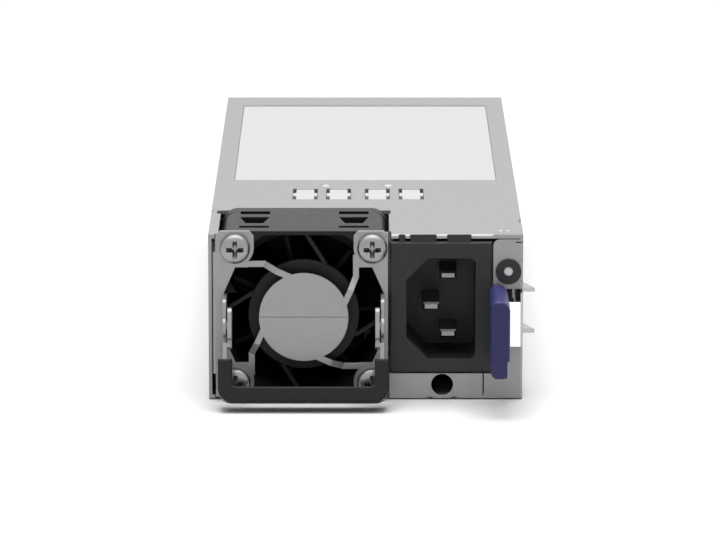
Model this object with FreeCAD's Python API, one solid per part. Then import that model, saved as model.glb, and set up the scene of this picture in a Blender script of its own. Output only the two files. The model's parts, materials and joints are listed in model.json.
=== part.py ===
import FreeCAD, Part
import math
import os

# Hot swap server power supply, one STEP file per piece, in millimetres.
# X runs across the front from left to right, Y from the front to the rear, and Z up.
# The origin is on the underside, at the middle of the front face.

Vector = FreeCAD.Vector
X_AXIS = Vector(1, 0, 0)
Y_AXIS = Vector(0, 1, 0)
Z_AXIS = Vector(0, 0, 1)

# ---------------------------------------------------------------- driving dimensions

# Case
CASE_WIDTH = 73.5
CASE_HEIGHT = 39.2
CASE_LENGTH = 185.0
SHEET = 0.8
COVER_SHEET = 1.0
COVER_EDGE_RADIUS = 0.8
COVER_FLANGE_HEIGHT = 7.4
COVER_FLANGE_INSET = 2.0
SEAM_GAP = 0.3

# Label and its recess in the cover
LABEL_SIDE = 4.65
LABEL_FRONT = 67.3
LABEL_REAR = 12.4
LABEL_THICKNESS = 0.15
LABEL_RECESS = 0.4
LABEL_MARGIN = 0.15

# Windows and dimples in the cover
WINDOW_WIDTH = 6.0
WINDOW_LENGTH = 12.9
WINDOW_FRONT = 42.4
WINDOW_CENTRES = (-14.6, -6.5, 2.9, 11.1)
RELIEF = 0.9
PAD_GAP = 0.1
PAD_LENGTH = 12.2
PAD_WIDE_LENGTH = 4.0
PAD_NARROWER = 0.85
DIMPLE_DIAMETER = 3.4
DIMPLE_HEIGHT = 0.6
DIMPLE_PLACES = ((-9.6, 60.1), (5.65, 60.1))
SMALL_DIMPLE_DIAMETER = 1.5
SMALL_DIMPLE_INSETS = (5.2, 3.5)
SMALL_DIMPLE_Y = 4.6

# Fan
FAN_SIZE = 39.7
FAN_DEPTH = 28.0
FAN_PITCH = 32.0
FAN_MARGIN = 2.43
FAN_LIFT = 0.1
FAN_GAP = 0.15
FAN_BORE = 37.8
FAN_DUCT_SKIN = 0.9
FAN_FLANGE_RADIUS = 4.0
FAN_BODY_RADIUS = 3.8
FAN_BODY_INSET = 0.35
FAN_SCREW_HOLE = 4.3
FAN_SLOTS = ((4.1, 6.4), (9.5, 16.8), (20.3, 23.8))
FAN_SLOT_TAPER = 1.4
FAN_SLOT_INNER = 8.2
FAN_SLOT_OUTER = 15.2
FAN_FRONT_FLANGE = 2.3
FAN_REAR_FLANGE = 4.2
FAN_FLARE = 42.0
FAN_FLARE_DEPTH = 3.0
FAN_BOSS = 5.9
HOLDER_DIAMETER = 25.9
HOLDER_SETBACK = 0.2
HOLDER_THICKNESS = 1.6
STRUT_WIDTH = 1.0
STRUT_SWEEP = 4.6
STRUT_END = 0.4
BEARING_DIAMETER = 4.6
BEARING_WALL = 0.9
BEARING_LENGTH = 14.0
SHAFT_DIAMETER = 2.0
SHAFT_FIT = 0.05
HUB_DIAMETER = 21.0
HUB_WALL = 1.0
HUB_LENGTH = 19.0
HUB_GAP = 0.6
MAGNET_THICKNESS = 1.4
STATOR_DIAMETER = 14.6
STATOR_LENGTH = 9.0
STATOR_POLES = 4
BLADE_COUNT = 7
BLADE_SETBACK_DEPTH = 3.0
BLADE_THICKNESS = 1.0
BLADE_TIP_GAP = 0.7
BLADE_SWEEP = 9.0

# Fan guard plate
PLATE_SHEET = 0.9
PLATE_SIDE_GAP = 0.85
PLATE_FLANGE_DEPTH = 11.0
PLATE_FLANGE_LOW = 5.9
PLATE_FLANGE_DROP = 3.2
PLATE_BOTTOM = 0.3
PLATE_TOP = 38.6
PLATE_OPENING = 37.6
DISC_DIAMETER = 20.9
DISC_STEP = 2.4
DISC_GROOVE = 0.15
JOG_LENGTH = 3.0
ARM_WIDTH = 1.4
ARM_OFFSET = 12.2
ARM_BEND = 9.2
ARM_ANGLE = 24.0
PAD_RADIUS = 4.35
PAD_NECK = 3.0
PAD_EDGE = 4.6
PAD_FOOT = 5.0
TAB_TOP = 40.0
TAB_CORNER = 1.1
TAB_RIGHT_END = 0.85

# Fan screws
SCREW_HEAD = 7.0
SCREW_HEAD_HEIGHT = 2.6
SCREW_FIT = 0.2
SCREW_LENGTH = 9.0
SCREW_HEAD_ROUND = 0.6
RECESS_WIDTH = 1.2
RECESS_SPAN = 4.6
RECESS_DEPTH = 1.8

# Bail handle
PIVOT_OUT = 5.6
PIVOT_HEIGHT = 18.5
PIVOT_DIAMETER = 2.5
PIVOT_FIT = 0.05
EAR_SHEET = 0.8
EAR_RADIUS = 2.6
EAR_ABOVE = 6.6
EAR_FRONT = 1.4
EAR_CORNER = 1.3
STOP_DROP = 2.0
STRAP_SHEET = 1.0
STRAP_GAP = 0.3
STRAP_WIDTH = 3.6
STRAP_END_WIDTH = 6.8
STRAP_END_TOP = 4.2
STRAP_END_LOW = 3.5
STRAP_CORNER = 1.6
JOG_DROP = 4.1
HANDLE_TILT = 20.0
HANDLE_REACH = 17.85
GRIP_WIDTH = 39.8
GRIP_LEG = 3.3
GRIP_COVER = 1.1
GRIP_BAR = 3.5
GRIP_THICKNESS = 5.2
GRIP_LEG_TOP = 7.9
GRIP_RADIUS = 3.2
GRIP_INNER_RADIUS = 1.2
GRIP_EDGE = 0.5

# Inlet
INLET_GAP = 0.15
PANEL_WIDTH = 7.0
INLET_HEIGHT = 31.35
INLET_DROP = 1.65
INLET_PROUD = 0.4
INLET_FLANGE = 2.6
INLET_EDGE = 0.45
WELL_SIDE = 3.97
WELL_HEIGHT = 23.95
WELL_DEPTH = 16.4
WELL_CHAMFER = 5.1
WELL_RADIUS = 1.5
WELL_SHIFT = 0.03
WELL_DROP = 0.275
INLET_WALL = 2.0
INLET_BACK = 3.0
BLADE_WIDE = 4.0
BLADE_TALL = 2.0
BLADE_PITCH = 14.0
BLADE_SHIFT = -0.25
BLADE_DROP = 0.2
BLADE_SETBACK = 5.4
EARTH_SETBACK = 3.3
EARTH_OFFSET = 4.0
BLADE_TAPER = 0.52
TAIL_WIDE = 2.6
TAIL_TALL = 0.9
TAIL_LENGTH = 5.4
SNAP_TABS = ((-9.75, -8.45), (-7.15, -1.15), (1.55, 6.95))
SNAP_DEPTH = 0.15
SNAP_SIDE_GAP = 0.15

# Front strip and right front panel of the tray
STRIP_GAP = 0.2
PANEL_DROP = 0.2
PANEL_RADIUS = 1.5
SEAM_INSET = 2.05
SEAM_LOW = 0.9
CLIP_HOLE = 5.1
CLIP_SHIFT = 0.35
CLIP_RISE = 0.3
CLIP_RELIEF = 1.2
CLIP_TAB_WIDTH = 4.4
BEND_RADIUS = 0.7
NOTCH_DIAMETER = 0.9
WALL_NOTCH_DROPS = (5.2, 10.3)
COVER_NOTCHES = ((1, 5.4, 1.0), (1, 15.8, 5.0), (-1, 28.0, 1.6))
COVER_NOTCH_DEPTH = 0.5
CUTOUT_RELIEF = 0.9
CUTOUT_RELIEF_LENGTH = 4.0
PANEL_RELIEF = 1.1
CORNER_SLIT_DROP = 0.9
CORNER_SLIT_LENGTH = 1.7
CORNER_SLIT_HEIGHT = 0.3

# Status light
LIGHT_INSET = 3.42
LIGHT_DROP = 7.8
BEZEL_DIAMETER = 6.0
BEZEL_PROUD = 0.5
BEZEL_BARREL = 4.8
BEZEL_LENGTH = 7.0
LENS_DIAMETER = 2.5
LENS_LENGTH = 9.0

# Side latch
LEAF_SHEET = 0.6
LEAF_INSET = 0.05
LEAF_DROP = 4.6
LEAF_LOW = 12.93
LEAF_NECK = 6.0
LEAF_NECK_START = 24.0
LEAF_FRONT = 2.4
LEAF_AXIS_Y = 44.0
LATCH_GAP = 0.4
TOOTH_OUT = 3.1
TOOTH_LENGTH = 8.0
TOOTH_FRONT = 8.0
TOOTH_SHEET = 0.9
TOOTH_PITCH = 9.9
ARM_TOP_DROP = 2.2
ARM_SEAT = 3.0
TAB_WIDTH = 4.37
TAB_INSET = 3.55
TAB_BELOW = 3.75
TAB_ABOVE = 1.8
TAB_LENGTH = 18.8
TAB_REAR = 1.8
TAB_RADIUS = 1.5
TAB_TOP_RADIUS = 2.5
TAB_EDGE = 0.8
TAB_NOTCH = 0.6
TAB_NOTCH_HEIGHT = 4.2
POCKET_SHEET = 0.8
POCKET_INSET = 5.35
ANCHOR_LENGTH = 11.0
ANCHOR_HEIGHT = 10.0
ANCHOR_RIVET = 2.5
ANCHOR_RIVET_PITCH = 5.0

# Cover rivets
RIVET_DIAMETER = 3.0
RIVET_HEAD = 4.6
RIVET_HEAD_THICKNESS = 0.7
RIVET_DROP = 4.0
RIVET_FRONT = 58.0
RIVET_REAR = 19.0

# Rear panel
VENT_DIAMETER = 4.0
VENT_PITCH = 5.2
VENT_MARGIN = 3.5
CARD_SLOT_GAP = 0.3

# Main board and card edge
BOARD_SHEET = 1.6
STANDOFF_HEIGHT = 4.0
STANDOFF_DIAMETER = 5.5
BOARD_SIDE_GAP = 0.95
BOARD_REAR_GAP = 0.3
BOARD_FRONT_GAP = 2.0
BOARD_STEP = 1.25
CARD_WIDTH = 47.0
CARD_LENGTH = 8.5
CARD_BEVEL = 0.5
CONTACT_COUNT = 25
CONTACT_WIDTH = 1.3
CONTACT_LENGTH = 6.0
CONTACT_THICKNESS = 0.08
BOARD_SCREW = 3.0
BOARD_SCREW_HEAD = 5.2
BOARD_SCREW_HEAD_HEIGHT = 1.8
BOARD_SCREW_REACH = 3.0
STANDOFF_INSET = 3.6
INSULATOR_SHEET = 0.4
FILM_SHEET = 0.4
FILM_DROP = 1.6

# Inlet filter board and what it carries
FILTER_BOARD_GAP = 0.6
FILTER_BOARD_DROP = 2.2
FUSE_DIAMETER = 5.0
FUSE_LENGTH = 20.0
Y_CAP_DIAMETER = 6.0
Y_CAP_THICKNESS = 4.0

# Power components
PART_GAP = 2.0
X_CAP_MARGIN = 1.4
X_CAP_DEPTH = 8.5
X_CAP_HEIGHT = 15.0
CHOKE_OUTER = 22.0
CHOKE_INNER = 9.0
CHOKE_LENGTH = 11.0
CHOKE_BASE = 1.2
WIRE_BUILD = 1.6
PFC_CHOKE_DROP = 3.0
PFC_CHOKE_WALL = 7.5
PFC_CHOKE_LENGTH = 13.0
RELAY_DEPTH = 10.0
RELAY_HEIGHT = 15.5
BULK_DIAMETER = 25.0
BULK_SIDE_GAP = 0.6
SINK_SHEET = 2.0
SINK_DROP = 4.2
DEVICE_THICKNESS = 4.4
DEVICE_HEIGHT = 15.0
DEVICE_GAP = 2.4
DEVICE_LIFT = 1.5
DEVICE_COUNT = 4
BRIDGE_SIZE = (4.0, 9.0, 17.0)
TRANSFORMER_WIDTH = 32.0
TRANSFORMER_DEPTH = 14.0
TRANSFORMER_DROP = 3.2
TRANSFORMER_LEG = 7.0
WINDING_DEPTH = 26.0
RESONANT_SIZE = (20.0, 18.0, 19.0)
STANDBY_SIZE = (14.0, 14.0, 13.0)
OUTPUT_SINK_SIZE = (33.0, 11.0, 22.0)
OUTPUT_SINK_BASE = 3.0
OUTPUT_SINK_FIN = 1.2
OUTPUT_SINK_FINS = 10
OUTPUT_CAP_DIAMETER = 8.0
OUTPUT_CAP_HEIGHT = 12.0
OUTPUT_CAP_PITCH = 9.0
OUTPUT_CAP_COLUMNS = 4
OUTPUT_CAP_ROWS = 2
LEFT_LANE = -14.0
RIGHT_LANE_GAP = 2.1
BUS_BAR_SIZE = (3.0, 24.0, 9.0)
BUS_BAR_PITCH = 8.0
CONTROL_BOARD_LENGTH = 58.0
CONTROL_BOARD_DROP = 4.2
CHIP_SIZE = (1.4, 9.0, 9.0)
CHIP_COUNT = 4
HEADER_SIZE = (5.6, 4.4, 4.6)
PLUG_LENGTH = 4.2
LEAD_DIAMETER = 1.0
LEAD_COUNT = 4
LEAD_PITCH = 1.1
LEAD_EXPOSED = 3.6
LEAD_IN = 2.9
LEAD_DROP = 12.4

# ---------------------------------------------------------------- places worked out

HALF_WIDTH = CASE_WIDTH / 2
WALL_IN = HALF_WIDTH - SHEET
COVER_UNDER = CASE_HEIGHT - COVER_SHEET
FLANGE_IN = WALL_IN - COVER_SHEET
LABEL_WIDTH = CASE_WIDTH - 2 * LABEL_SIDE
LABEL_LENGTH = CASE_LENGTH - LABEL_FRONT - LABEL_REAR

FAN_HALF = FAN_SIZE / 2
FAN_X = -HALF_WIDTH + FAN_MARGIN + FAN_HALF
FAN_Z = FAN_HALF + FAN_LIFT
FAN_FRONT = PLATE_SHEET
FAN_REAR = FAN_FRONT + FAN_DEPTH
FAN_LEFT = FAN_X - FAN_HALF
FAN_RIGHT = FAN_X + FAN_HALF
PLATE_LEFT = -WALL_IN + PLATE_SIDE_GAP
PLATE_RIGHT = FAN_RIGHT - FAN_GAP
HOLDER_FRONT = FAN_FRONT + HOLDER_SETBACK
HOLDER_REAR = HOLDER_FRONT + HOLDER_THICKNESS
HUB_FRONT = HOLDER_REAR + HUB_GAP
HUB_REAR = HUB_FRONT + HUB_LENGTH
BEARING_OUTER = BEARING_DIAMETER / 2 + BEARING_WALL

INLET_LEFT = FAN_RIGHT + INLET_GAP
PANEL_LEFT = HALF_WIDTH - PANEL_WIDTH
INLET_RIGHT = PANEL_LEFT - INLET_GAP
INLET_X = (INLET_LEFT + INLET_RIGHT) / 2
INLET_TOP = CASE_HEIGHT - INLET_DROP
INLET_BOTTOM = INLET_TOP - INLET_HEIGHT
STRIP_LEFT = INLET_LEFT
STRIP_TOP = INLET_BOTTOM - STRIP_GAP
PANEL_TOP = COVER_UNDER - PANEL_DROP
SEAM_X = INLET_RIGHT - SEAM_INSET
CLIP_X = INLET_X + CLIP_SHIFT
CLIP_Z = STRIP_TOP / 2 + CLIP_RISE
LIGHT_X = HALF_WIDTH - LIGHT_INSET
LIGHT_Z = COVER_UNDER - LIGHT_DROP
WELL_WIDTH = INLET_RIGHT - INLET_LEFT - 2 * WELL_SIDE
WELL_CENTRE_X = INLET_X + WELL_SHIFT
WELL_CENTRE_Z = (INLET_TOP + INLET_BOTTOM) / 2 - WELL_DROP
WELL_FRONT = -INLET_PROUD
WELL_REAR = WELL_FRONT + WELL_DEPTH
INLET_REAR = WELL_REAR + INLET_BACK

PIVOT_Y = -PIVOT_OUT
EAR_OUTER = PLATE_OPENING / 2
EAR_INNER = EAR_OUTER - EAR_SHEET
STRAP_OUTER = EAR_INNER - STRAP_GAP
STRAP_INNER = STRAP_OUTER - STRAP_SHEET
LEG_OUTER = GRIP_WIDTH / 2 - GRIP_COVER
LEG_INNER = LEG_OUTER - STRAP_SHEET

LEAF_OUTER = HALF_WIDTH - LEAF_INSET
LEAF_INNER = LEAF_OUTER - LEAF_SHEET
LEAF_MIDDLE = (LEAF_OUTER + LEAF_INNER) / 2
LEAF_HIGH = LIGHT_Z - LEAF_DROP
LEAF_CENTRE_Z = (LEAF_LOW + LEAF_HIGH) / 2
LATCH_LOW = LEAF_LOW - LATCH_GAP
LATCH_HIGH = LEAF_HIGH + LATCH_GAP
ARM_HIGH = LEAF_HIGH - ARM_TOP_DROP
TAB_RIGHT = HALF_WIDTH - TAB_INSET
TAB_LEFT = TAB_RIGHT - TAB_WIDTH
TAB_LOW = LEAF_LOW - TAB_BELOW
TAB_HIGH = LEAF_HIGH + TAB_ABOVE
POCKET_LEFT = HALF_WIDTH - POCKET_INSET
POCKET_OUTER = POCKET_LEFT - POCKET_SHEET
RIGHT_LANE = POCKET_OUTER - RIGHT_LANE_GAP - CHOKE_OUTER / 2

BOARD_LOW = SHEET + STANDOFF_HEIGHT
BOARD_TOP = BOARD_LOW + BOARD_SHEET
BOARD_HALF = WALL_IN - BOARD_SIDE_GAP
BOARD_FRONT = FAN_REAR + BOARD_FRONT_GAP
BOARD_REAR = CASE_LENGTH - SHEET - BOARD_REAR_GAP
BOARD_STEP_X = FAN_RIGHT + BOARD_STEP
FILTER_FRONT = INLET_REAR + PART_GAP
FILTER_REAR = FILTER_FRONT + BOARD_SHEET
FILTER_BOARD_RIGHT = POCKET_OUTER - FILTER_BOARD_GAP
FILTER_BOARD_TOP = COVER_UNDER - FILTER_BOARD_DROP
FILM_LOW = COVER_UNDER - FILM_DROP
ROOM = FILM_LOW - BOARD_TOP

X_CAP_FRONT = FILTER_REAR + PART_GAP
CHOKE_FRONT = X_CAP_FRONT + X_CAP_DEPTH + PART_GAP
RELAY_FRONT = CHOKE_FRONT + CHOKE_LENGTH + PART_GAP
PLUG_FRONT = FAN_REAR + LEAD_EXPOSED
HEADER_FRONT = PLUG_FRONT + PLUG_LENGTH
PFC_FRONT = BOARD_FRONT + 3 * PART_GAP
PFC_CHOKE_OUTER = ROOM - CHOKE_BASE - PFC_CHOKE_DROP
PFC_CHOKE_INNER = PFC_CHOKE_OUTER - 2 * PFC_CHOKE_WALL
LEFT_CHOKE_FRONT = PFC_FRONT + PFC_CHOKE_LENGTH + PART_GAP
OUTPUT_CAP_REAR = BOARD_REAR - STANDOFF_INSET - BOARD_SCREW_HEAD / 2 - PART_GAP
OUTPUT_CAP_FRONT = OUTPUT_CAP_REAR - (OUTPUT_CAP_ROWS - 1) * OUTPUT_CAP_PITCH - OUTPUT_CAP_DIAMETER
OUTPUT_SINK_FRONT = OUTPUT_CAP_FRONT - PART_GAP - OUTPUT_SINK_SIZE[1]
TRANSFORMER_REAR = OUTPUT_SINK_FRONT - PART_GAP
TRANSFORMER_FRONT = TRANSFORMER_REAR - WINDING_DEPTH
TRANSFORMER_SIZE = (TRANSFORMER_WIDTH, TRANSFORMER_DEPTH, ROOM - TRANSFORMER_DROP)
STANDBY_FRONT = TRANSFORMER_FRONT + RESONANT_SIZE[1] + PART_GAP
BULK_FRONT = max(LEFT_CHOKE_FRONT + CHOKE_LENGTH, RELAY_FRONT + RELAY_DEPTH) + PART_GAP
BULK_REAR = TRANSFORMER_FRONT - PART_GAP
BULK_LENGTH = BULK_REAR - BULK_FRONT
BULK_X = FLANGE_IN - BULK_SIDE_GAP - BULK_DIAMETER / 2
SINK_HEIGHT = ROOM - SINK_DROP
CONTROL_BOARD_HEIGHT = ROOM - CONTROL_BOARD_DROP
CONTROL_BOARD_RIGHT = BOARD_HALF - BOARD_SHEET / 2
CONTROL_BOARD_LEFT = CONTROL_BOARD_RIGHT - BOARD_SHEET
CONTROL_BOARD_REAR = BOARD_REAR - STANDOFF_INSET - BOARD_SCREW_HEAD / 2 - PART_GAP
CONTROL_BOARD_FRONT = CONTROL_BOARD_REAR - CONTROL_BOARD_LENGTH

# ---------------------------------------------------------------- shape helpers


def box(xs, ys, zs):
    """A box from three (low, high) pairs."""
    size = [high - low for low, high in (xs, ys, zs)]
    return Part.makeBox(size[0], size[1], size[2], Vector(xs[0], ys[0], zs[0]))


def rod(centre, axis, diameter, length):
    """A cylinder that starts at centre and runs along axis."""
    return Part.makeCylinder(diameter / 2, length, Vector(*centre), axis)


def tube(centre, axis, outer, inner, length):
    """A cylinder with a hole right through it."""
    return rod(centre, axis, outer, length).cut(rod(centre, axis, inner, length))


def around(middle, width):
    """The (low, high) pair of a width centred on middle."""
    return (middle - width / 2, middle + width / 2)


def polygon(points):
    """A face from a closed list of points."""
    wire = Part.makePolygon([Vector(*point) for point in points + points[:1]])
    return Part.Face(wire)


def slab_xz(points, front, rear):
    """A plate with an outline in X and Z, from front to rear in Y."""
    face = polygon([(x, front, z) for x, z in points])
    return face.extrude(Vector(0, rear - front, 0))


def slab_xy(points, low, high):
    """A plate with an outline in X and Y, from low to high in Z."""
    face = polygon([(x, y, low) for x, y in points])
    return face.extrude(Vector(0, 0, high - low))


def slab_yz(points, left, right):
    """A plate with an outline in Y and Z, from left to right in X."""
    face = polygon([(left, y, z) for y, z in points])
    return face.extrude(Vector(right - left, 0, 0))


def join(shapes):
    """All the shapes as one solid with its seams removed."""
    first, rest = shapes[0], shapes[1:]
    return (first.multiFuse(rest) if rest else first).removeSplitter()


def cut_all(shape, tools):
    """The shape less every tool."""
    return shape.cut(tools) if tools else shape


def round_edges(shape, radius, chosen):
    """The shape with the edges that chosen picks rounded."""
    edges = [edge for edge in shape.Edges if chosen(edge)]
    return shape.makeFillet(radius, edges) if edges else shape


def runs_along(edge, axis):
    """Whether a straight edge is parallel to an axis."""
    if not isinstance(edge.Curve, Part.Line):
        return False
    return abs(edge.tangentAt(edge.FirstParameter).dot(axis)) > 0.999


def rounded_box(xs, ys, zs, axis, radius):
    """A box whose four edges along axis are rounded."""
    return round_edges(box(xs, ys, zs), radius, lambda edge: runs_along(edge, axis))


def fillet_along(shape, axis, radius, place):
    """The shape with the straight edges along axis whose middles match place rounded."""
    return round_edges(shape, radius, lambda edge: runs_along(edge, axis) and lies_at(edge, place))


def lies_at(edge, place, tolerance=0.01):
    """Whether the middle of an edge matches the coordinates that place gives."""
    middle = edge.CenterOfMass
    pairs = zip((middle.x, middle.y, middle.z), place)
    return all(want is None or abs(have - want) < tolerance for have, want in pairs)


def quarter_turns(shape, centre, axis):
    """The shape at 0, 90, 180 and 270 degrees about an axis."""
    turned = []
    for turn in range(4):
        copy = shape.copy()
        copy.rotate(Vector(*centre), axis, 90 * turn)
        turned.append(copy)
    return turned


# ---------------------------------------------------------------- case


def fan_cutout(low, high, front):
    """The space that the fan takes out of a sheet."""
    xs = (FAN_LEFT - FAN_GAP, FAN_RIGHT + FAN_GAP)
    return box(xs, (front, FAN_REAR + FAN_GAP), (low, high))


def cutout_reliefs():
    """The slots at the rear corners and the front right of the fan's cut-out in the cover."""
    zs = (COVER_UNDER - SHEET, 2 * CASE_HEIGHT)
    rear_y = (FAN_REAR - CUTOUT_RELIEF_LENGTH, FAN_REAR)
    left = box((FAN_LEFT - FAN_GAP - CUTOUT_RELIEF, FAN_LEFT), rear_y, zs)
    right = box((FAN_RIGHT, FAN_RIGHT + FAN_GAP + CUTOUT_RELIEF / 2), rear_y, zs)
    front = box((FAN_RIGHT, FAN_RIGHT + FAN_GAP + CUTOUT_RELIEF / 2), (-SHEET, CUTOUT_RELIEF_LENGTH), zs)
    return [left, right, front]


def rivet_places():
    """The side, Y and Z of every rivet that joins the cover to the tray."""
    height = COVER_UNDER - RIVET_DROP
    rear = CASE_LENGTH - RIVET_REAR
    lengths = (RIVET_FRONT, (RIVET_FRONT + rear) / 2, rear)
    return [(side, y, height) for side in (-1, 1) for y in lengths]


def side_rod(side, start, y, z, diameter, length):
    """A rod along X that starts start from the middle, on one side, and runs outward."""
    left = start if side > 0 else -start - length
    return rod((left, y, z), X_AXIS, diameter, length)


def plate_notch():
    """The space that the guard plate takes out of the front of the floor and the cover."""
    return box((PLATE_LEFT - FAN_GAP, FAN_X), (-SHEET, PLATE_SHEET + FAN_GAP), (-SHEET, 2 * CASE_HEIGHT))


def front_corner_tools():
    """The relief holes and the slit at the tray's right front corner."""
    heights = [COVER_UNDER - drop for drop in WALL_NOTCH_DROPS]
    tools = [rod((HALF_WIDTH, -SHEET, z), Y_AXIS, NOTCH_DIAMETER, 3 * SHEET) for z in heights]
    slit = (HALF_WIDTH - CORNER_SLIT_LENGTH, CASE_WIDTH)
    tools.append(box(slit, (-SHEET, SHEET), around(COVER_UNDER - CORNER_SLIT_DROP, CORNER_SLIT_HEIGHT)))
    tools.append(rod((PANEL_LEFT, -SHEET, PANEL_TOP), Y_AXIS, PANEL_RELIEF, 3 * SHEET))
    return tools


def cover_notches():
    """The notches in the side edges of the cover."""
    tools = []
    for side, middle, length in COVER_NOTCHES:
        xs = around(side * HALF_WIDTH, 2 * COVER_NOTCH_DEPTH)
        zs = (COVER_UNDER, CASE_WIDTH)
        tools.append(rounded_box(xs, around(middle, length), zs, Z_AXIS, COVER_NOTCH_DEPTH * 0.9))
    return tools


def cover_edge_tool():
    """What rounds the cover's front edge above the inlet."""
    xs = (INLET_LEFT, PANEL_LEFT)
    radius = COVER_EDGE_RADIUS
    corner = box(xs, (-radius, radius), (CASE_HEIGHT - radius, CASE_HEIGHT + radius))
    return corner.cut(rod((xs[0], radius, CASE_HEIGHT - radius), X_AXIS, 2 * radius, xs[1] - xs[0]))


def clip_hole_relief():
    """The clip hole and the two notches beside its tab."""
    tools = [rod((CLIP_X, -SHEET, CLIP_Z), Y_AXIS, CLIP_HOLE, 3 * SHEET)]
    for side in (-1, 1):
        notch = around(CLIP_X + side * (CLIP_TAB_WIDTH + CLIP_RELIEF) / 2, CLIP_RELIEF)
        tools.append(box(notch, (-SHEET, SHEET), (0, SHEET * 0.5)))
    return tools


def chassis_tray():
    floor = box((-HALF_WIDTH, HALF_WIDTH), (0, CASE_LENGTH), (0, SHEET))
    left_wall = box((-HALF_WIDTH, -WALL_IN), (0, CASE_LENGTH), (0, COVER_UNDER))
    right_wall = box((WALL_IN, HALF_WIDTH), (0, CASE_LENGTH), (0, COVER_UNDER))
    strip = box((STRIP_LEFT, WALL_IN), (0, SHEET), (0, STRIP_TOP))
    panel = box((PANEL_LEFT, WALL_IN), (0, SHEET), (0, PANEL_TOP))
    panel = round_edges(panel, PANEL_RADIUS, lambda edge: lies_at(edge, (PANEL_LEFT, None, PANEL_TOP)))
    tray = join([floor, left_wall, right_wall, strip, panel])
    tray = round_edges(tray, BEND_RADIUS, lambda edge: lies_at(edge, (HALF_WIDTH, 0, None)))
    tools = clip_hole_relief() + front_corner_tools()
    tools += [fan_cutout(-SHEET, 2 * SHEET, -SHEET), plate_notch()]
    tools.append(box(around(SEAM_X, SEAM_GAP), (-SHEET, SHEET), (SEAM_LOW, STRIP_TOP)))
    tools.append(box((POCKET_LEFT, CASE_WIDTH), (-SHEET, SHEET), (LATCH_LOW, LATCH_HIGH)))
    tools.append(box((WALL_IN, CASE_WIDTH), (0, LEAF_AXIS_Y + PART_GAP), (LATCH_LOW, LATCH_HIGH)))
    tools.append(rod((LIGHT_X, -SHEET, LIGHT_Z), Y_AXIS, BEZEL_BARREL, 3 * SHEET))
    for side, y, z in rivet_places():
        tools.append(side_rod(side, WALL_IN - SHEET, y, z, RIVET_DIAMETER, 3 * SHEET))
    for y, z in anchor_rivet_places():
        tools.append(rod((WALL_IN - SHEET, y, z), X_AXIS, ANCHOR_RIVET, 3 * SHEET))
    return cut_all(tray, tools)


def snap_tab_sides():
    """The left and right of each of the inlet's snap tabs."""
    return [(INLET_X + left, INLET_X + right) for left, right in SNAP_TABS]


def cover_window(centre):
    """The hole of one window, with the reliefs at its rear corners."""
    rear = WINDOW_FRONT + WINDOW_LENGTH
    tools = [box(around(centre, WINDOW_WIDTH), (WINDOW_FRONT, rear), (0, CASE_WIDTH))]
    for side in (-1, 1):
        corner = around(centre + side * (WINDOW_WIDTH - RELIEF) / 2, RELIEF)
        tools.append(box(corner, (rear, rear + RELIEF), (0, CASE_WIDTH)))
    return tools


def window_pad(centre):
    """The raised pad of the white film that fills one window, narrow at its front and rear."""
    rear = WINDOW_FRONT + WINDOW_LENGTH - PAD_GAP
    front = rear - PAD_LENGTH
    middle = (front + rear) / 2
    zs = (FILM_LOW, CASE_HEIGHT - PAD_GAP)
    narrow = WINDOW_WIDTH - 2 * PAD_NARROWER
    wide = box(around(centre, WINDOW_WIDTH - 2 * PAD_GAP), around(middle, PAD_WIDE_LENGTH), zs)
    return [wide, box(around(centre, narrow), (front, rear), zs)]


def film_holes(centre):
    """The holes in the film under the rear corners of one window."""
    rear = WINDOW_FRONT + WINDOW_LENGTH
    xs = WINDOW_WIDTH / 2 - PAD_NARROWER
    holes = []
    for side in (-1, 1):
        corner = sorted((centre + side * xs, centre + side * (xs + RELIEF)))
        holes.append(box(corner, (rear - PAD_WIDE_LENGTH, rear + RELIEF), (FILM_LOW, COVER_UNDER)))
    return holes


def dimple(x, y, diameter, height):
    """A low dome on top of the cover."""
    radius = (diameter ** 2 / 4 + height ** 2) / (2 * height)
    ball = Part.makeSphere(radius, Vector(x, y, CASE_HEIGHT + height - radius))
    return ball.common(rod((x, y, COVER_UNDER + COVER_SHEET / 2), Z_AXIS, diameter, COVER_SHEET + height))


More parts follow.
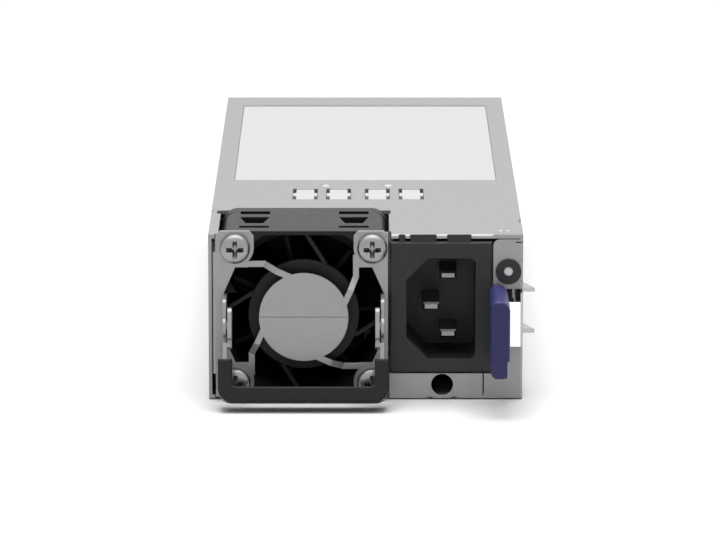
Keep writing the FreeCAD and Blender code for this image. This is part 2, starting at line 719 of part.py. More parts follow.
def top_cover():
    sheet = box((-HALF_WIDTH, HALF_WIDTH), (0, CASE_LENGTH), (COVER_UNDER, CASE_HEIGHT))
    recess_x = around(0, LABEL_WIDTH + 2 * LABEL_MARGIN)
    recess_y = (LABEL_FRONT - LABEL_MARGIN, LABEL_FRONT + LABEL_LENGTH + LABEL_MARGIN)
    wide_x = (recess_x[0] - COVER_SHEET, recess_x[1] + COVER_SHEET)
    wide_y = (recess_y[0] - COVER_SHEET, recess_y[1] + COVER_SHEET)
    under = box(wide_x, wide_y, (COVER_UNDER - LABEL_RECESS, COVER_UNDER))
    flange_y = (FAN_REAR + COVER_FLANGE_INSET, CASE_LENGTH - COVER_FLANGE_INSET)
    flange_z = (COVER_UNDER - COVER_FLANGE_HEIGHT, COVER_UNDER)
    flanges = [box((-WALL_IN, -FLANGE_IN), flange_y, flange_z), box((FLANGE_IN, WALL_IN), flange_y, flange_z)]
    domes = [dimple(x, y, DIMPLE_DIAMETER, DIMPLE_HEIGHT) for x, y in DIMPLE_PLACES]
    for inset in SMALL_DIMPLE_INSETS:
        domes.append(dimple(HALF_WIDTH - inset, SMALL_DIMPLE_Y, SMALL_DIMPLE_DIAMETER, DIMPLE_HEIGHT / 2))
    cover = join([sheet, under] + flanges + domes)
    tools = [fan_cutout(COVER_UNDER - SHEET, 2 * CASE_HEIGHT, -SHEET), plate_notch()]
    tools += cutout_reliefs() + cover_notches() + [cover_edge_tool()]
    tools.append(box(recess_x, recess_y, (CASE_HEIGHT - LABEL_RECESS, 2 * CASE_HEIGHT)))
    for centre in WINDOW_CENTRES:
        tools += cover_window(centre)
    for left, right in snap_tab_sides():
        notch = (left - SNAP_SIDE_GAP, right + SNAP_SIDE_GAP)
        tools.append(box(notch, (-SHEET, SNAP_DEPTH + SNAP_SIDE_GAP), (0, 2 * CASE_HEIGHT)))
    for side, y, z in rivet_places():
        tools.append(side_rod(side, FLANGE_IN - SHEET, y, z, RIVET_DIAMETER, 3 * SHEET))
    return cut_all(cover, tools)


def rating_label():
    low = CASE_HEIGHT - LABEL_RECESS
    lengths = (LABEL_FRONT, LABEL_FRONT + LABEL_LENGTH)
    return box(around(0, LABEL_WIDTH), lengths, (low, low + LABEL_THICKNESS))


def cover_rivets():
    rivets = []
    for side, y, z in rivet_places():
        shank = side_rod(side, FLANGE_IN, y, z, RIVET_DIAMETER, HALF_WIDTH - FLANGE_IN)
        start = FLANGE_IN - RIVET_HEAD_THICKNESS
        head = side_rod(side, start, y, z, RIVET_HEAD, RIVET_HEAD_THICKNESS)
        rivets.append(join([shank, head]))
    return Part.makeCompound(rivets)


def cover_film():
    """The white film under the cover, with a flap up each side and a pad in each window."""
    lengths = (BOARD_FRONT, CASE_LENGTH - SHEET - BOARD_REAR_GAP)
    base = box((-FLANGE_IN, FLANGE_IN), lengths, (FILM_LOW, FILM_LOW + FILM_SHEET))
    flaps = []
    for side in (-1, 1):
        flap = around(side * (FLANGE_IN - FILM_SHEET / 2), FILM_SHEET)
        flap_y = (lengths[0] + COVER_FLANGE_INSET, lengths[1] - COVER_FLANGE_INSET)
        flaps.append(box(flap, flap_y, (FILM_LOW, COVER_UNDER)))
    film = join([base] + flaps)
    for centre in WINDOW_CENTRES:
        film = join([film.cut(film_holes(centre))] + window_pad(centre))
    return film


def vent_rows(width, low, high):
    """Centres of a staggered grid of vents that fits a width and a height."""
    places = []
    row_height = VENT_PITCH * math.sqrt(3) / 2
    rows = int((high - low) / row_height) + 1
    start = (low + high - (rows - 1) * row_height) / 2
    for row in range(rows):
        count = int(width / VENT_PITCH) + (row + 1) % 2
        left = -(count - 1) * VENT_PITCH / 2
        places += [(left + column * VENT_PITCH, start + row * row_height) for column in range(count)]
    return places


def rear_panel():
    ys = (CASE_LENGTH - SHEET, CASE_LENGTH)
    panel = box((-WALL_IN, WALL_IN), ys, (SHEET, COVER_UNDER))
    slot_z = (BOARD_LOW - CARD_SLOT_GAP, BOARD_TOP + CARD_SLOT_GAP)
    slot = box(around(0, CARD_WIDTH + 2 * CARD_SLOT_GAP), (ys[0] - SHEET, ys[1] + SHEET), slot_z)
    width = 2 * WALL_IN - 2 * VENT_MARGIN
    low = slot_z[1] + VENT_MARGIN
    tools = [slot]
    for x, z in vent_rows(width, low, COVER_UNDER - VENT_MARGIN):
        tools.append(rod((x, ys[0] - SHEET, z), Y_AXIS, VENT_DIAMETER, 3 * SHEET))
    return cut_all(panel, tools)


# ---------------------------------------------------------------- fan


def on_fan(u, v, y):
    """A point given across and up from the fan's centre."""
    return (FAN_X + u, y, FAN_Z + v)


def screw_corners():
    """The four screw places, across and up from the fan's centre."""
    half = FAN_PITCH / 2
    return [(u, v) for u in (-half, half) for v in (-half, half)]


def fan_slot_tools():
    """The pockets in the sides of the frame, beside the round duct."""
    duct = rod(on_fan(0, 0, FAN_FRONT), Y_AXIS, FAN_BORE + 2 * FAN_DUCT_SKIN, FAN_DEPTH)
    tools = []
    for index, (near, far) in enumerate(FAN_SLOTS):
        taper = FAN_SLOT_TAPER if index == 1 else 0.0
        for side in (-1, 1):
            inner, outer = side * FAN_SLOT_INNER, side * FAN_SLOT_OUTER
            outline = [
                (FAN_X + inner + side * taper, FAN_FRONT + near),
                (FAN_X + outer - side * taper, FAN_FRONT + near),
                (FAN_X + outer, FAN_FRONT + far),
                (FAN_X + inner, FAN_FRONT + far),
            ]
            pocket = slab_xy(outline, FAN_Z + FAN_SLOT_INNER, FAN_Z + FAN_HALF)
            tools += quarter_turns(pocket.cut(duct), on_fan(0, 0, 0), Y_AXIS)
    return tools


def motor_strut():
    """One strut from the motor holder to the frame, before it is turned."""
    inner = HOLDER_DIAMETER / 2 - BEARING_WALL
    outer = FAN_BORE / 2 + FAN_DUCT_SKIN / 2
    half = STRUT_WIDTH / 2
    start, end = STRUT_END + STRUT_SWEEP, STRUT_END
    outline = [(start - half, inner), (start + half, inner), (end + half, outer), (end - half, outer)]
    return slab_xz([(FAN_X + u, FAN_Z + v) for u, v in outline], HOLDER_FRONT, HOLDER_REAR)


def front_flare():
    """The space that widens the duct towards the fan's front, less the bosses round the screws."""
    front = Vector(*on_fan(0, 0, FAN_FRONT))
    cone = Part.makeCone(FAN_FLARE / 2, FAN_BORE / 2, FAN_FLARE_DEPTH, front, Y_AXIS)
    across = around(FAN_X, FAN_BORE)
    flare = cone.common(box(across, (FAN_FRONT, FAN_FRONT + FAN_FLARE_DEPTH), around(FAN_Z, FAN_BORE)))
    bosses = [rod(on_fan(u, v, FAN_FRONT), Y_AXIS, FAN_BOSS, FAN_FLARE_DEPTH) for u, v in screw_corners()]
    return flare.cut(bosses)


def fan_frame():
    front_y = (FAN_FRONT, FAN_FRONT + FAN_FRONT_FLANGE)
    rear_y = (FAN_REAR - FAN_REAR_FLANGE, FAN_REAR)
    full_x = (FAN_LEFT, FAN_RIGHT)
    full_z = (FAN_Z - FAN_HALF, FAN_Z + FAN_HALF)
    flanges = [rounded_box(full_x, ys, full_z, Y_AXIS, FAN_FLANGE_RADIUS) for ys in (front_y, rear_y)]
    body_x = (FAN_LEFT + FAN_BODY_INSET, FAN_RIGHT - FAN_BODY_INSET)
    body_z = (full_z[0] + FAN_BODY_INSET, full_z[1])
    body = rounded_box(body_x, (FAN_FRONT, FAN_REAR), body_z, Y_AXIS, FAN_BODY_RADIUS)
    frame = join(flanges + [body])
    tools = [rod(on_fan(0, 0, FAN_FRONT), Y_AXIS, FAN_BORE, FAN_DEPTH)]
    tools += [rod(on_fan(u, v, FAN_FRONT), Y_AXIS, FAN_SCREW_HOLE, FAN_DEPTH) for u, v in screw_corners()]
    frame = cut_all(frame, tools + [front_flare()] + fan_slot_tools())
    holder = rod(on_fan(0, 0, HOLDER_FRONT), Y_AXIS, HOLDER_DIAMETER, HOLDER_THICKNESS)
    barrel = rod(on_fan(0, 0, HOLDER_FRONT), Y_AXIS, 2 * BEARING_OUTER, BEARING_LENGTH + HOLDER_THICKNESS)
    struts = quarter_turns(motor_strut(), on_fan(0, 0, 0), Y_AXIS)
    frame = join([frame, holder, barrel] + struts)
    bore = rod(on_fan(0, 0, HOLDER_REAR), Y_AXIS, BEARING_DIAMETER, BEARING_LENGTH)
    return frame.cut(bore)


def fan_bearing():
    bore = SHAFT_DIAMETER + 2 * SHAFT_FIT
    return tube(on_fan(0, 0, HOLDER_REAR), Y_AXIS, BEARING_DIAMETER, bore, BEARING_LENGTH)


def fan_stator():
    """Laminated poles round the bearing barrel."""
    start = HUB_FRONT + HUB_GAP
    ring = tube(on_fan(0, 0, start), Y_AXIS, STATOR_DIAMETER, 2 * BEARING_OUTER, STATOR_LENGTH)
    half = STATOR_DIAMETER / 2
    gap = box(
        (FAN_X + BEARING_OUTER + BEARING_WALL, FAN_X + half),
        (start - HUB_GAP, start + STATOR_LENGTH + HUB_GAP),
        around(FAN_Z, BEARING_WALL),
    )
    gaps = []
    for pole in range(STATOR_POLES):
        copy = gap.copy()
        copy.rotate(Vector(*on_fan(0, 0, 0)), Y_AXIS, 45 + 360 / STATOR_POLES * pole)
        gaps.append(copy)
    return cut_all(ring, gaps)


def impeller_blade():
    """One twisted blade, from inside the hub's wall to the tip circle."""
    inner = HUB_DIAMETER / 2 - HUB_WALL / 2
    outer = FAN_BORE / 2
    front, rear = HUB_FRONT + BLADE_SETBACK_DEPTH, HUB_REAR - HUB_GAP
    wires = []
    for radius, sweep in ((inner, 0.55 * BLADE_SWEEP), (outer, BLADE_SWEEP)):
        half = BLADE_THICKNESS / 2
        corners = [(-sweep / 2 - half, front), (-sweep / 2 + half, front)]
        corners += [(sweep / 2 + half, rear), (sweep / 2 - half, rear)]
        points = [Vector(FAN_X + across, y, FAN_Z + radius) for across, y in corners]
        wires.append(Part.makePolygon(points + points[:1]))
    blade = Part.makeLoft(wires, True, True)
    tip = FAN_BORE - 2 * BLADE_TIP_GAP
    return blade.common(rod(on_fan(0, 0, HUB_FRONT), Y_AXIS, tip, HUB_LENGTH))


def fan_impeller():
    hub = rod(on_fan(0, 0, HUB_FRONT), Y_AXIS, HUB_DIAMETER, HUB_LENGTH)
    blade = impeller_blade()
    blades = []
    for index in range(BLADE_COUNT):
        copy = blade.copy()
        copy.rotate(Vector(*on_fan(0, 0, 0)), Y_AXIS, 360 / BLADE_COUNT * index)
        blades.append(copy)
    hollow = rod(on_fan(0, 0, HUB_FRONT), Y_AXIS, HUB_DIAMETER - 2 * HUB_WALL, HUB_LENGTH - HUB_WALL)
    return join([hub] + blades).cut(hollow)


def fan_magnet():
    outer = HUB_DIAMETER - 2 * HUB_WALL
    length = STATOR_LENGTH + HUB_GAP
    return tube(on_fan(0, 0, HUB_FRONT + HUB_GAP), Y_AXIS, outer, outer - 2 * MAGNET_THICKNESS, length)


def fan_shaft():
    start = HOLDER_REAR + HUB_GAP
    return rod(on_fan(0, 0, start), Y_AXIS, SHAFT_DIAMETER, HUB_REAR - HUB_WALL - start)


def fan_screws():
    screws = []
    for u, v in screw_corners():
        shank = rod(on_fan(u, v, -SCREW_HEAD_HEIGHT / 2), Y_AXIS, FAN_SCREW_HOLE, SCREW_LENGTH)
        head = rod(on_fan(u, v, -SCREW_HEAD_HEIGHT), Y_AXIS, SCREW_HEAD, SCREW_HEAD_HEIGHT)
        rim = [edge for edge in head.Edges if lies_at(edge, (None, -SCREW_HEAD_HEIGHT, None))]
        head = head.makeFillet(SCREW_HEAD_ROUND, rim)
        depth = (-SCREW_HEAD_HEIGHT, -SCREW_HEAD_HEIGHT + RECESS_DEPTH)
        centre_x, centre_z = FAN_X + u, FAN_Z + v
        across = box(around(centre_x, RECESS_SPAN), depth, around(centre_z, RECESS_WIDTH))
        upright = box(around(centre_x, RECESS_WIDTH), depth, around(centre_z, RECESS_SPAN))
        screws.append(join([shank, head]).cut([across, upright]))
    return Part.makeCompound(screws)


# ---------------------------------------------------------------- guard plate


def guard_pad(side_u, side_v):
    """One corner pad: round, with a foot that slants to the column beside it."""
    screw = FAN_PITCH / 2
    half = PLATE_OPENING / 2
    neck = screw - PAD_NECK if side_u != side_v else ARM_OFFSET
    low = screw - PAD_EDGE
    far = half + PLATE_SHEET
    outline = [(far, PAD_FOOT), (half, PAD_FOOT), (screw, low), (neck, low), (neck, far), (far, far)]
    foot = slab_xz([(FAN_X + side_u * u, FAN_Z + side_v * v) for u, v in outline], 0, PLATE_SHEET)
    return join([foot, rod(on_fan(side_u * screw, side_v * screw, 0), Y_AXIS, 2 * PAD_RADIUS, PLATE_SHEET)])


def guard_arm():
    """One arm of the spider: straight from its pad, then down to the disc with a step forward."""
    half = ARM_WIDTH / 2
    reach = ARM_BEND - 0.2 * DISC_DIAMETER / 2
    length = reach / math.cos(math.radians(ARM_ANGLE))
    root = PAD_NECK - FAN_PITCH / 2 - ARM_WIDTH
    bend_x, bend_z = FAN_X - ARM_BEND, FAN_Z + ARM_OFFSET
    flat = box((FAN_X + root, bend_x + half / 2), (0, PLATE_SHEET), around(bend_z, ARM_WIDTH))
    step = [(0, 0), (JOG_LENGTH, -DISC_STEP), (length, -DISC_STEP), (length, PLATE_SHEET - DISC_STEP)]
    step += [(JOG_LENGTH, PLATE_SHEET - DISC_STEP), (0, PLATE_SHEET)]
    front = slab_xy([(bend_x + along, y) for along, y in step], bend_z - half, bend_z + half)
    front.rotate(Vector(bend_x, 0, bend_z), Y_AXIS, ARM_ANGLE)
    return [flat, front]


def corner_tab(side):
    """The tab above the case at a top corner pad."""
    inner = FAN_X + side * (FAN_PITCH / 2 - PAD_RADIUS)
    outer = PLATE_LEFT if side < 0 else PLATE_RIGHT - TAB_RIGHT_END
    tab = box(sorted((inner, outer)), (0, PLATE_SHEET), (FAN_Z + FAN_PITCH / 2, TAB_TOP))
    cut_x = (inner, outer) if side < 0 else (inner,)
    corners = [edge for edge in tab.Edges if any(lies_at(edge, (x, None, TAB_TOP)) for x in cut_x)]
    return tab.makeChamfer(TAB_CORNER, corners)


def ear_sides(side):
    """The left and right faces of the ear at one side."""
    return sorted((FAN_X + side * EAR_INNER, FAN_X + side * EAR_OUTER))


def handle_ear(side):
    """The ear that is bent forward at one side of the opening.

    It ends in a round nose about the pin. Its finger below stands just behind the strap's leg,
    which leans on it at rest.
    """
    left, right = ear_sides(side)
    nose = rod((left, PIVOT_Y, PIVOT_HEIGHT), X_AXIS, 2 * EAR_RADIUS, EAR_SHEET)
    low, high = PIVOT_HEIGHT - EAR_RADIUS, PIVOT_HEIGHT + EAR_ABOVE
    front = PIVOT_Y - EAR_FRONT
    upper = box((left, right), (front, PLATE_SHEET), (PIVOT_HEIGHT, high))
    upper = round_edges(upper, EAR_CORNER, lambda edge: lies_at(edge, (None, front, high)))
    web = box((left, right), (PIVOT_Y, PLATE_SHEET), (low, PIVOT_HEIGHT))
    tip = low - STOP_DROP
    outline = [(leg_back(low), low), (leg_back(tip), tip), (PLATE_SHEET, tip), (PLATE_SHEET, low)]
    return join([nose, upper, web, slab_yz(outline, left, right)])


def leg_back(height):
    """How far forward the stop can reach behind the strap's leg at a height."""
    tilt = math.radians(HANDLE_TILT)
    drop = PIVOT_HEIGHT - height
    return PIVOT_Y - drop * math.tan(tilt) + (STRAP_WIDTH / 2 + STRAP_GAP) / math.cos(tilt)


def guard_sheet():
    """The flat sheet with its side tab and the flange bent back along the left wall."""
    sheet = box((PLATE_LEFT, PLATE_RIGHT), (0, PLATE_SHEET), (PLATE_BOTTOM, PLATE_TOP))
    side_z = (PLATE_FLANGE_LOW, COVER_UNDER - PLATE_FLANGE_DROP)
    side_tab = box((-WALL_IN, PLATE_LEFT), (0, PLATE_SHEET), side_z)
    side_flange = box((-WALL_IN, -WALL_IN + PLATE_SHEET), (0, PLATE_FLANGE_DEPTH), side_z)
    bend = join([side_tab, side_flange])
    bend = round_edges(bend, BEND_RADIUS, lambda edge: lies_at(edge, (-WALL_IN, 0, None)))
    return join([sheet, bend])


def fan_guard_plate():
    half = PLATE_OPENING / 2
    through = (-PLATE_SHEET, 2 * PLATE_SHEET)
    plate = guard_sheet()
    opening = box((FAN_X - half, FAN_X + half), through, (FAN_Z - half, FAN_Z + half))
    above = box(around(FAN_X, FAN_PITCH), through, (FAN_Z, CASE_WIDTH))
    plate = cut_all(plate, [opening, above])
    limits = box((PLATE_LEFT, PLATE_RIGHT), through, (PLATE_BOTTOM, TAB_TOP))
    spider = [rod(on_fan(0, 0, -DISC_STEP), Y_AXIS, DISC_DIAMETER, PLATE_SHEET)]
    spider += [guard_pad(side_u, side_v).common(limits) for side_u in (-1, 1) for side_v in (-1, 1)]
    for piece in guard_arm():
        spider += quarter_turns(piece, on_fan(0, 0, 0), Y_AXIS)
    spider += [corner_tab(side) for side in (-1, 1)]
    spider += [handle_ear(side) for side in (-1, 1)]
    plate = join([plate] + spider)
    hole = FAN_SCREW_HOLE + 2 * SCREW_FIT
    tools = [rod(on_fan(u, v, -PLATE_SHEET), Y_AXIS, hole, 3 * PLATE_SHEET) for u, v in screw_corners()]
    tools.append(rod((FAN_X - FAN_HALF, PIVOT_Y, PIVOT_HEIGHT), X_AXIS, PIVOT_DIAMETER, FAN_SIZE))
    groove_y = (-DISC_STEP - DISC_GROOVE, -DISC_STEP + DISC_GROOVE)
    tools.append(box(around(FAN_X, DISC_DIAMETER), groove_y, around(FAN_Z, DISC_GROOVE)))
    return cut_all(plate, tools)


# ---------------------------------------------------------------- handle


def hang(shape):
    """Moves a handle piece, drawn hanging from the origin, to its pivot and its tilt."""
    placed = shape.copy()
    placed.rotate(Vector(0, 0, 0), X_AXIS, -HANDLE_TILT)
    placed.translate(Vector(FAN_X, PIVOT_Y, PIVOT_HEIGHT))
    return placed


def bail_strap():
    """The right-hand strap, hanging from the origin: a broad end at the pin, a jog and a leg."""
    across = around(0, STRAP_WIDTH)
    strap_x = (STRAP_INNER, STRAP_OUTER)
    end_z = (-STRAP_END_LOW, STRAP_END_TOP)
    end = rounded_box(strap_x, around(0, STRAP_END_WIDTH), end_z, X_AXIS, STRAP_CORNER)
    neck = box(strap_x, across, (-JOG_DROP - STRAP_SHEET, 0))
    jog_x = (min(STRAP_INNER, LEG_INNER), max(STRAP_OUTER, LEG_OUTER))
    jog = box(jog_x, across, (-JOG_DROP - STRAP_SHEET, -JOG_DROP))
    leg = box((LEG_INNER, LEG_OUTER), across, (-HANDLE_REACH + GRIP_EDGE, -JOG_DROP))
    return join([end, neck, jog, leg])


def handle_bail_hanging():
    """Both straps and the bar that joins them inside the grip, hanging from the origin."""
    right = bail_strap()
    left = right.mirror(Vector(0, 0, 0), X_AXIS)
    low = -HANDLE_REACH + GRIP_EDGE
    bar = box((-LEG_OUTER, LEG_OUTER), around(0, STRAP_WIDTH), (low, low + STRAP_SHEET))
    bail = join([right, left, bar])
    return bail.cut(rod((-FAN_HALF, 0, 0), X_AXIS, PIVOT_DIAMETER + 2 * PIVOT_FIT, FAN_SIZE))


def handle_bail():
    return hang(handle_bail_hanging())


def handle_grip():
    """The black moulding round the lower legs and the bar."""
    half = GRIP_WIDTH / 2
    thick = around(0, GRIP_THICKNESS)
    outer = box((-half, half), thick, (-HANDLE_REACH, -GRIP_LEG_TOP))
    outer = fillet_along(outer, Y_AXIS, GRIP_RADIUS, (None, None, -HANDLE_REACH))
    inside = (-half + GRIP_LEG, half - GRIP_LEG)
    space = box(inside, thick, (-HANDLE_REACH + GRIP_BAR, 0))
    low_z = -HANDLE_REACH + GRIP_BAR
    space = fillet_along(space, Y_AXIS, GRIP_INNER_RADIUS, (None, None, low_z))
    grip = outer.cut(space)
    for face_y in thick:
        grip = round_edges(grip, GRIP_EDGE, lambda edge: lies_at(edge, (None, face_y, None)))
    return hang(grip.cut(handle_bail_hanging()))


def handle_pivots():
    """The two pins, flush with the outer face of the ears and the inner face of the straps."""
    pins = []
    for side in (-1, 1):
        pins.append(side_rod(side, STRAP_INNER, 0, 0, PIVOT_DIAMETER, EAR_OUTER - STRAP_INNER))
    pair = Part.makeCompound(pins)
    pair.translate(Vector(FAN_X, PIVOT_Y, PIVOT_HEIGHT))
    return pair


# ---------------------------------------------------------------- inlet


def well_outline(grow):
    """The inlet's well, seen from the front, with its two left corners cut off."""
    left = WELL_CENTRE_X - WELL_WIDTH / 2 - grow
    right = WELL_CENTRE_X + WELL_WIDTH / 2 + grow
    low = WELL_CENTRE_Z - WELL_HEIGHT / 2 - grow
    high = WELL_CENTRE_Z + WELL_HEIGHT / 2 + grow
    cut = WELL_CHAMFER + grow * (2 - math.sqrt(2))
    left_low = [(left, low + cut), (left + cut, low)]
    left_high = [(left + cut, high), (left, high - cut)]
    return left_low + [(right, low), (right, high)] + left_high


def well_solid(grow, front, rear):
    """The well's outline as a solid, with round corners on its right."""
    solid = slab_xz(well_outline(grow), front, rear)
    right = WELL_CENTRE_X + WELL_WIDTH / 2 + grow
    radius = WELL_RADIUS + grow
    return fillet_along(solid, Y_AXIS, radius, (right, None, None))


def blade_places():
    """The centre of each blade, and how far its tip stands behind the front."""
    half = BLADE_PITCH / 2
    x = WELL_CENTRE_X + EARTH_OFFSET / 2 + BLADE_SHIFT
    z = WELL_CENTRE_Z - BLADE_DROP
    return {
        "inlet_blade_line": (x, z + half, BLADE_SETBACK),
        "inlet_blade_neutral": (x, z - half, BLADE_SETBACK),
        "inlet_blade_earth": (x - EARTH_OFFSET, z, EARTH_SETBACK),
    }


def inlet_blade(name):
    x, z, setback = blade_places()[name]
    tip = WELL_FRONT + setback
    body = box(around(x, BLADE_WIDE), (tip, INLET_REAR), around(z, BLADE_TALL))
    tip_edges = [edge for edge in body.Edges if lies_at(edge, (None, tip, None))]
    body = body.makeChamfer(BLADE_TAPER, tip_edges)
    tail = box(around(x, TAIL_WIDE), (INLET_REAR, INLET_REAR + TAIL_LENGTH), around(z, TAIL_TALL))
    return join([body, tail])


def inlet_housing():
    front = WELL_FRONT
    flange = box((INLET_LEFT, INLET_RIGHT), (front, front + INLET_FLANGE), (INLET_BOTTOM, INLET_TOP))
    front_edges = [edge for edge in flange.Edges if lies_at(edge, (None, front, None))]
    flange = flange.makeChamfer(INLET_EDGE, front_edges)
    shroud = well_solid(INLET_WALL, front + INLET_FLANGE / 2, INLET_REAR)
    tab_y = (front + INLET_EDGE / 2, SNAP_DEPTH)
    tabs = [box(xs, tab_y, (INLET_TOP - 2 * INLET_EDGE, CASE_HEIGHT)) for xs in snap_tab_sides()]
    housing = join([flange, shroud] + tabs)
    tools = [well_solid(0, front, WELL_REAR)]
    for x, z, setback in blade_places().values():
        tools.append(box(around(x, BLADE_WIDE), (WELL_REAR, INLET_REAR), around(z, BLADE_TALL)))
    return cut_all(housing, tools)


# ---------------------------------------------------------------- status light


def light_bezel():
    flange = rod((LIGHT_X, -BEZEL_PROUD, LIGHT_Z), Y_AXIS, BEZEL_DIAMETER, BEZEL_PROUD)
    barrel = rod((LIGHT_X, 0, LIGHT_Z), Y_AXIS, BEZEL_BARREL, BEZEL_LENGTH)
    bore = rod((LIGHT_X, -BEZEL_PROUD, LIGHT_Z), Y_AXIS, LENS_DIAMETER, BEZEL_PROUD + BEZEL_LENGTH)
    return join([flange, barrel]).cut(bore)


def light_lens():
    start = -BEZEL_PROUD * 0.6
    lens = rod((LIGHT_X, start, LIGHT_Z), Y_AXIS, LENS_DIAMETER, LENS_LENGTH)
    lens = round_edges(lens, 0.2 * LENS_DIAMETER, lambda edge: lies_at(edge, (None, start, None)))
    foot = rod((LIGHT_X, BEZEL_LENGTH, LIGHT_Z), Y_AXIS, BEZEL_BARREL - POCKET_SHEET, LENS_DIAMETER)
    return join([lens, foot])


# ---------------------------------------------------------------- side latch


def anchor_rivet_places():
    """The Y and Z of the two rivets that hold the latch's anchor."""
    start = LEAF_AXIS_Y + PART_GAP + ANCHOR_RIVET
    return [(start + index * ANCHOR_RIVET_PITCH, LEAF_CENTRE_Z) for index in (0, 1)]


def latch_tooth(centre_z):
    """One tooth: a fin that is widest at its front and runs out towards the rear."""
    front, rear = TOOTH_FRONT, TOOTH_FRONT + TOOTH_LENGTH
    outline = [(LEAF_MIDDLE, front), (LEAF_OUTER + TOOTH_OUT, front), (LEAF_OUTER, rear), (LEAF_MIDDLE, rear)]
    low, high = around(centre_z, TOOTH_SHEET)
    return slab_xy(outline, low, high)


def latch_leaf():
    """The spring leaf, with its bent-in arm and its two teeth."""
    sheet_x = (LEAF_INNER, LEAF_OUTER)
    broad = box(sheet_x, (-LEAF_FRONT, LEAF_NECK_START), (LEAF_LOW, LEAF_HIGH))
    neck = box(sheet_x, (LEAF_NECK_START, LEAF_AXIS_Y), around(LEAF_CENTRE_Z, LEAF_NECK))
    end = rod((LEAF_MIDDLE, LEAF_AXIS_Y, LEAF_CENTRE_Z - LEAF_NECK / 2), Z_AXIS, LEAF_SHEET, LEAF_NECK)
    arm = box((TAB_RIGHT - ARM_SEAT, LEAF_OUTER), (-LEAF_FRONT, -TAB_REAR), (LEAF_LOW, ARM_HIGH))
    teeth = [latch_tooth(LEAF_CENTRE_Z + side * TOOTH_PITCH / 2) for side in (-1, 1)]
    return join([broad, neck, end, arm] + teeth)


def release_tab():
    front = -TAB_REAR - TAB_LENGTH
    tab = box((TAB_LEFT, TAB_RIGHT), (front, -TAB_REAR), (TAB_LOW, TAB_HIGH))
    tab = fillet_along(tab, Y_AXIS, TAB_TOP_RADIUS, (TAB_RIGHT, None, TAB_HIGH))
    tab = fillet_along(tab, Y_AXIS, TAB_RADIUS, (TAB_LEFT, None, None))
    tab = fillet_along(tab, Y_AXIS, TAB_RADIUS, (TAB_RIGHT, None, TAB_LOW))
    tab = round_edges(tab, TAB_EDGE, lambda edge: abs(edge.CenterOfMass.y - front) < SEAM_GAP / 2)
    notch = box((TAB_RIGHT - TAB_NOTCH, TAB_RIGHT), (front, -TAB_REAR), (TAB_LOW, TAB_LOW + TAB_NOTCH_HEIGHT))
    groove = box((TAB_RIGHT - ARM_SEAT, TAB_RIGHT), (-LEAF_FRONT, -TAB_REAR), (LEAF_LOW, ARM_HIGH))
    return tab.cut([notch, groove])


def latch_pocket():
    """The black pocket that closes the case behind the leaf."""
    rear = LEAF_AXIS_Y - SEAM_GAP
    low, high = LATCH_LOW - POCKET_SHEET, LATCH_HIGH + POCKET_SHEET
    outer = box((POCKET_OUTER, WALL_IN), (SHEET, rear), (low, high))
    inner = box((POCKET_LEFT, WALL_IN), (SHEET, rear - POCKET_SHEET), (LATCH_LOW, LATCH_HIGH))
    step = box((WALL_IN - LATCH_GAP, WALL_IN), (rear - 2 * POCKET_SHEET, rear), (LATCH_LOW, LATCH_HIGH))
    return outer.cut([inner, step])


def latch_anchor():
    """The fixed foot of the latch, riveted inside the right wall."""
    start = LEAF_AXIS_Y + LEAF_SHEET / 2 + SEAM_GAP
    zs = around(LEAF_CENTRE_Z, ANCHOR_HEIGHT)
    foot = box((WALL_IN - LEAF_SHEET, WALL_IN), (start, start + ANCHOR_LENGTH), zs)
    lip_x = (WALL_IN - LEAF_SHEET, LEAF_OUTER)
    lip = box(lip_x, (start, start + LEAF_SHEET), around(LEAF_CENTRE_Z, LEAF_NECK))
    tools = [rod((WALL_IN - SHEET, y, z), X_AXIS, ANCHOR_RIVET, SHEET) for y, z in anchor_rivet_places()]
    return cut_all(join([foot, lip]), tools)


def anchor_rivets():
    rivets = []
    for y, z in anchor_rivet_places():
        start = WALL_IN - LEAF_SHEET
        shank = rod((start, y, z), X_AXIS, ANCHOR_RIVET, HALF_WIDTH - start)
        head = rod((start - RIVET_HEAD_THICKNESS, y, z), X_AXIS, ANCHOR_RIVET + SHEET, RIVET_HEAD_THICKNESS)
        rivets.append(join([shank, head]))
    return Part.makeCompound(rivets)


# ---------------------------------------------------------------- boards


def standoff_places():
    """The X and Y of the stand-offs under the main board."""
    x = BOARD_HALF - STANDOFF_INSET
    front, rear = BOARD_FRONT + STANDOFF_INSET, BOARD_REAR - STANDOFF_INSET
    middle = BULK_REAR - BOARD_SCREW_HEAD
    return [(side * x, y) for side in (-1, 1) for y in (front, middle, rear)]


def board_holes(low, diameter, height):
    """Rods at every stand-off place."""
    return [rod((x, y, low), Z_AXIS, diameter, height) for x, y in standoff_places()]


def main_board():
    board = box((-BOARD_HALF, BOARD_HALF), (BOARD_FRONT, BOARD_REAR), (BOARD_LOW, BOARD_TOP))
    ahead = box((BOARD_STEP_X, BOARD_HALF), (FILTER_REAR, BOARD_FRONT), (BOARD_LOW, BOARD_TOP))
    tip = CASE_LENGTH + CARD_LENGTH
    side = [
        (BOARD_REAR, BOARD_LOW),
        (tip - CARD_BEVEL * 2, BOARD_LOW),
        (tip, BOARD_LOW + CARD_BEVEL),
        (tip, BOARD_TOP - CARD_BEVEL),
        (tip - CARD_BEVEL * 2, BOARD_TOP),
        (BOARD_REAR, BOARD_TOP),
    ]
    tongue = slab_yz(side, -CARD_WIDTH / 2, CARD_WIDTH / 2)
    board = join([board, ahead, tongue])
    return cut_all(board, board_holes(BOARD_LOW, BOARD_SCREW, BOARD_SHEET))


